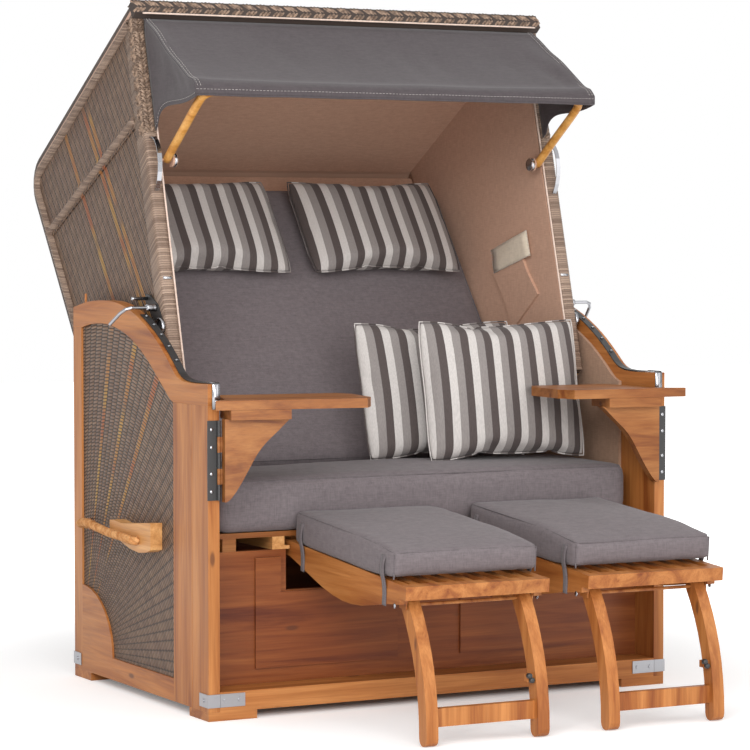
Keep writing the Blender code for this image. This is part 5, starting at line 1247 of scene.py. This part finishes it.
def label_patch():
    """A bare cream patch sewn on the right lining."""
    corners = [(0.299, 1.056), (0.104, 1.108), (0.084, 1.044), (0.267, 0.996)]
    verts = []
    c = [Vector((LINING_X - 0.0012, y + SHIFT, z)) for y, z in corners]
    n = 6
    for i in range(n + 1):
        for j in range(n + 1):
            a, b = i / n, j / n
            p = c[0].lerp(c[1], a).lerp(c[3].lerp(c[2], a), b)
            height = (HOOD.inverted() @ p).z
            p.x -= 0.0082 * min(max((0.560 - height) / 0.030, 0.0), 1.0)
            p.x -= 0.0009 * math.sin(math.pi * a) * math.sin(math.pi * b)
            verts.append(p)
    look = cloth("cream_patch", srgb(222, 208, 188), srgb(204, 190, 170), 0.0006)
    piece = make("blank_patch", verts, grid_faces(n, n), look, "hood")
    solid = piece.modifiers.new("thickness", "SOLIDIFY")
    solid.thickness = 0.0009
    edge = [verts[k] for k in (0, n, (n + 1) ** 2 - 1, (n + 1) * n)]
    path = []
    for a, b in zip(edge, edge[1:] + edge[:1]):
        path += [a.lerp(b, t / 8) + Vector((-0.0008, 0, 0)) for t in range(8)]
    make("patch_stitch", *stitches(path, 0.008, 0.0005), STITCH, "hood")


# Studio

LENS_PIXELS = 2938.5
FRAME_PIXELS = 750
SENSOR = 36.0
AZIMUTH, PITCH = -0.4848, 0.0479
CAMERA_PLACE = (-3.3421, -6.3909 + SHIFT, 1.0979)

def seen_ray(tree):
    """One where the camera sees a surface itself, by a mirror or through glass; zero for the light it gives."""
    path = tree.nodes.new("ShaderNodeLightPath")
    seen = path.outputs["Is Camera Ray"]
    for kind in ("Is Glossy Ray", "Is Transmission Ray"):
        most = tree.nodes.new("ShaderNodeMath")
        most.operation = "MAXIMUM"
        tree.links.new(seen, most.inputs[0])
        tree.links.new(path.outputs[kind], most.inputs[1])
        seen = most.outputs[0]
    return seen


def studio():
    scene = bpy.context.scene
    scene.view_settings.view_transform = "Standard"
    floor = Look("floor", 0.9)
    plain = floor.finish((0.92, 0.92, 0.92))
    glow = floor.add("ShaderNodeEmission")
    x, y, _ = floor.split(floor.coords)
    away = floor.root(floor.plus(floor.times(x, x), floor.times(y, y)))
    near = floor.times_plus(floor.smooth(away, 0.9, 2.4), 0.62, 0.26)
    across = floor.over(floor.size(x), BASE_HALF)
    deep = floor.over(floor.size(floor.minus(y, SHIFT)), BASE_BACK - SHIFT)
    outside = floor.smooth(floor.most(across, deep), 0.80, 1.0)
    near = floor.times(near, outside)
    floor.put(floor.times(near, seen_ray(floor.tree)), glow.inputs["Strength"])
    both = floor.add("ShaderNodeAddShader")
    floor.put(floor.shader.outputs[0], both.inputs[0])
    floor.put(glow.outputs[0], both.inputs[1])
    floor.put(both.outputs[0], floor.tree.nodes["Material Output"].inputs["Surface"])
    mesh = bpy.data.meshes.new("floor")
    mesh.from_pydata([(-14, -14, 0), (14, -14, 0), (14, 14, 0), (-14, 14, 0)], [], [(0, 1, 2, 3)])
    mesh.materials.append(plain)
    ground = bpy.data.objects.new("floor", mesh)
    scene.collection.objects.link(ground)
    ground.location.z = -0.0005
    world = bpy.data.worlds.new("studio")
    scene.world = world
    world.use_nodes = True
    tree = world.node_tree
    background = tree.nodes["Background"]
    background.inputs["Color"].default_value = (1.0, 1.0, 1.0, 1.0)
    mixed = tree.nodes.new("ShaderNodeMapRange")
    tree.links.new(seen_ray(tree), mixed.inputs["Value"])
    mixed.inputs["To Min"].default_value = 0.60
    mixed.inputs["To Max"].default_value = 1.0
    tree.links.new(mixed.outputs[0], background.inputs["Strength"])
    for name, place, aim, size, power in (
            ("key", (-3.6, -4.0, 3.4), (0, 0, 0.8), 2.6, 150),
            ("front", (-1.4, -6.0, 1.6), (0, 0, 0.9), 3.0, 170),
            ("fill", (3.6, -3.6, 2.2), (0, 0, 0.7), 3.0, 40),
            ("top", (0.2, -0.6, 4.4), (0, 0.1, 0.8), 3.0, 20)):
        data = bpy.data.lights.new(name, "AREA")
        data.shape = "SQUARE"
        data.size = size
        data.energy = power
        lamp = bpy.data.objects.new(name, data)
        scene.collection.objects.link(lamp)
        lamp.location = place
        lamp.rotation_euler = (Vector(aim) - Vector(place)).to_track_quat("-Z", "Y").to_euler()
    data = bpy.data.cameras.new("camera")
    data.sensor_width = SENSOR
    data.sensor_fit = "HORIZONTAL"
    data.lens = LENS_PIXELS / FRAME_PIXELS * SENSOR
    data.clip_end = 60.0
    camera = bpy.data.objects.new("camera", data)
    scene.collection.objects.link(camera)
    ahead = Vector((-math.sin(AZIMUTH) * math.cos(PITCH), math.cos(AZIMUTH) * math.cos(PITCH),
                    -math.sin(PITCH)))
    camera.location = CAMERA_PLACE
    camera.rotation_euler = ahead.to_track_quat("-Z", "Y").to_euler()
    scene.camera = camera


studio()
dress_cad()
soft_goods()
awning()
awning_rods()
wicker_trim()
ropes()
hardware()
label_patch()
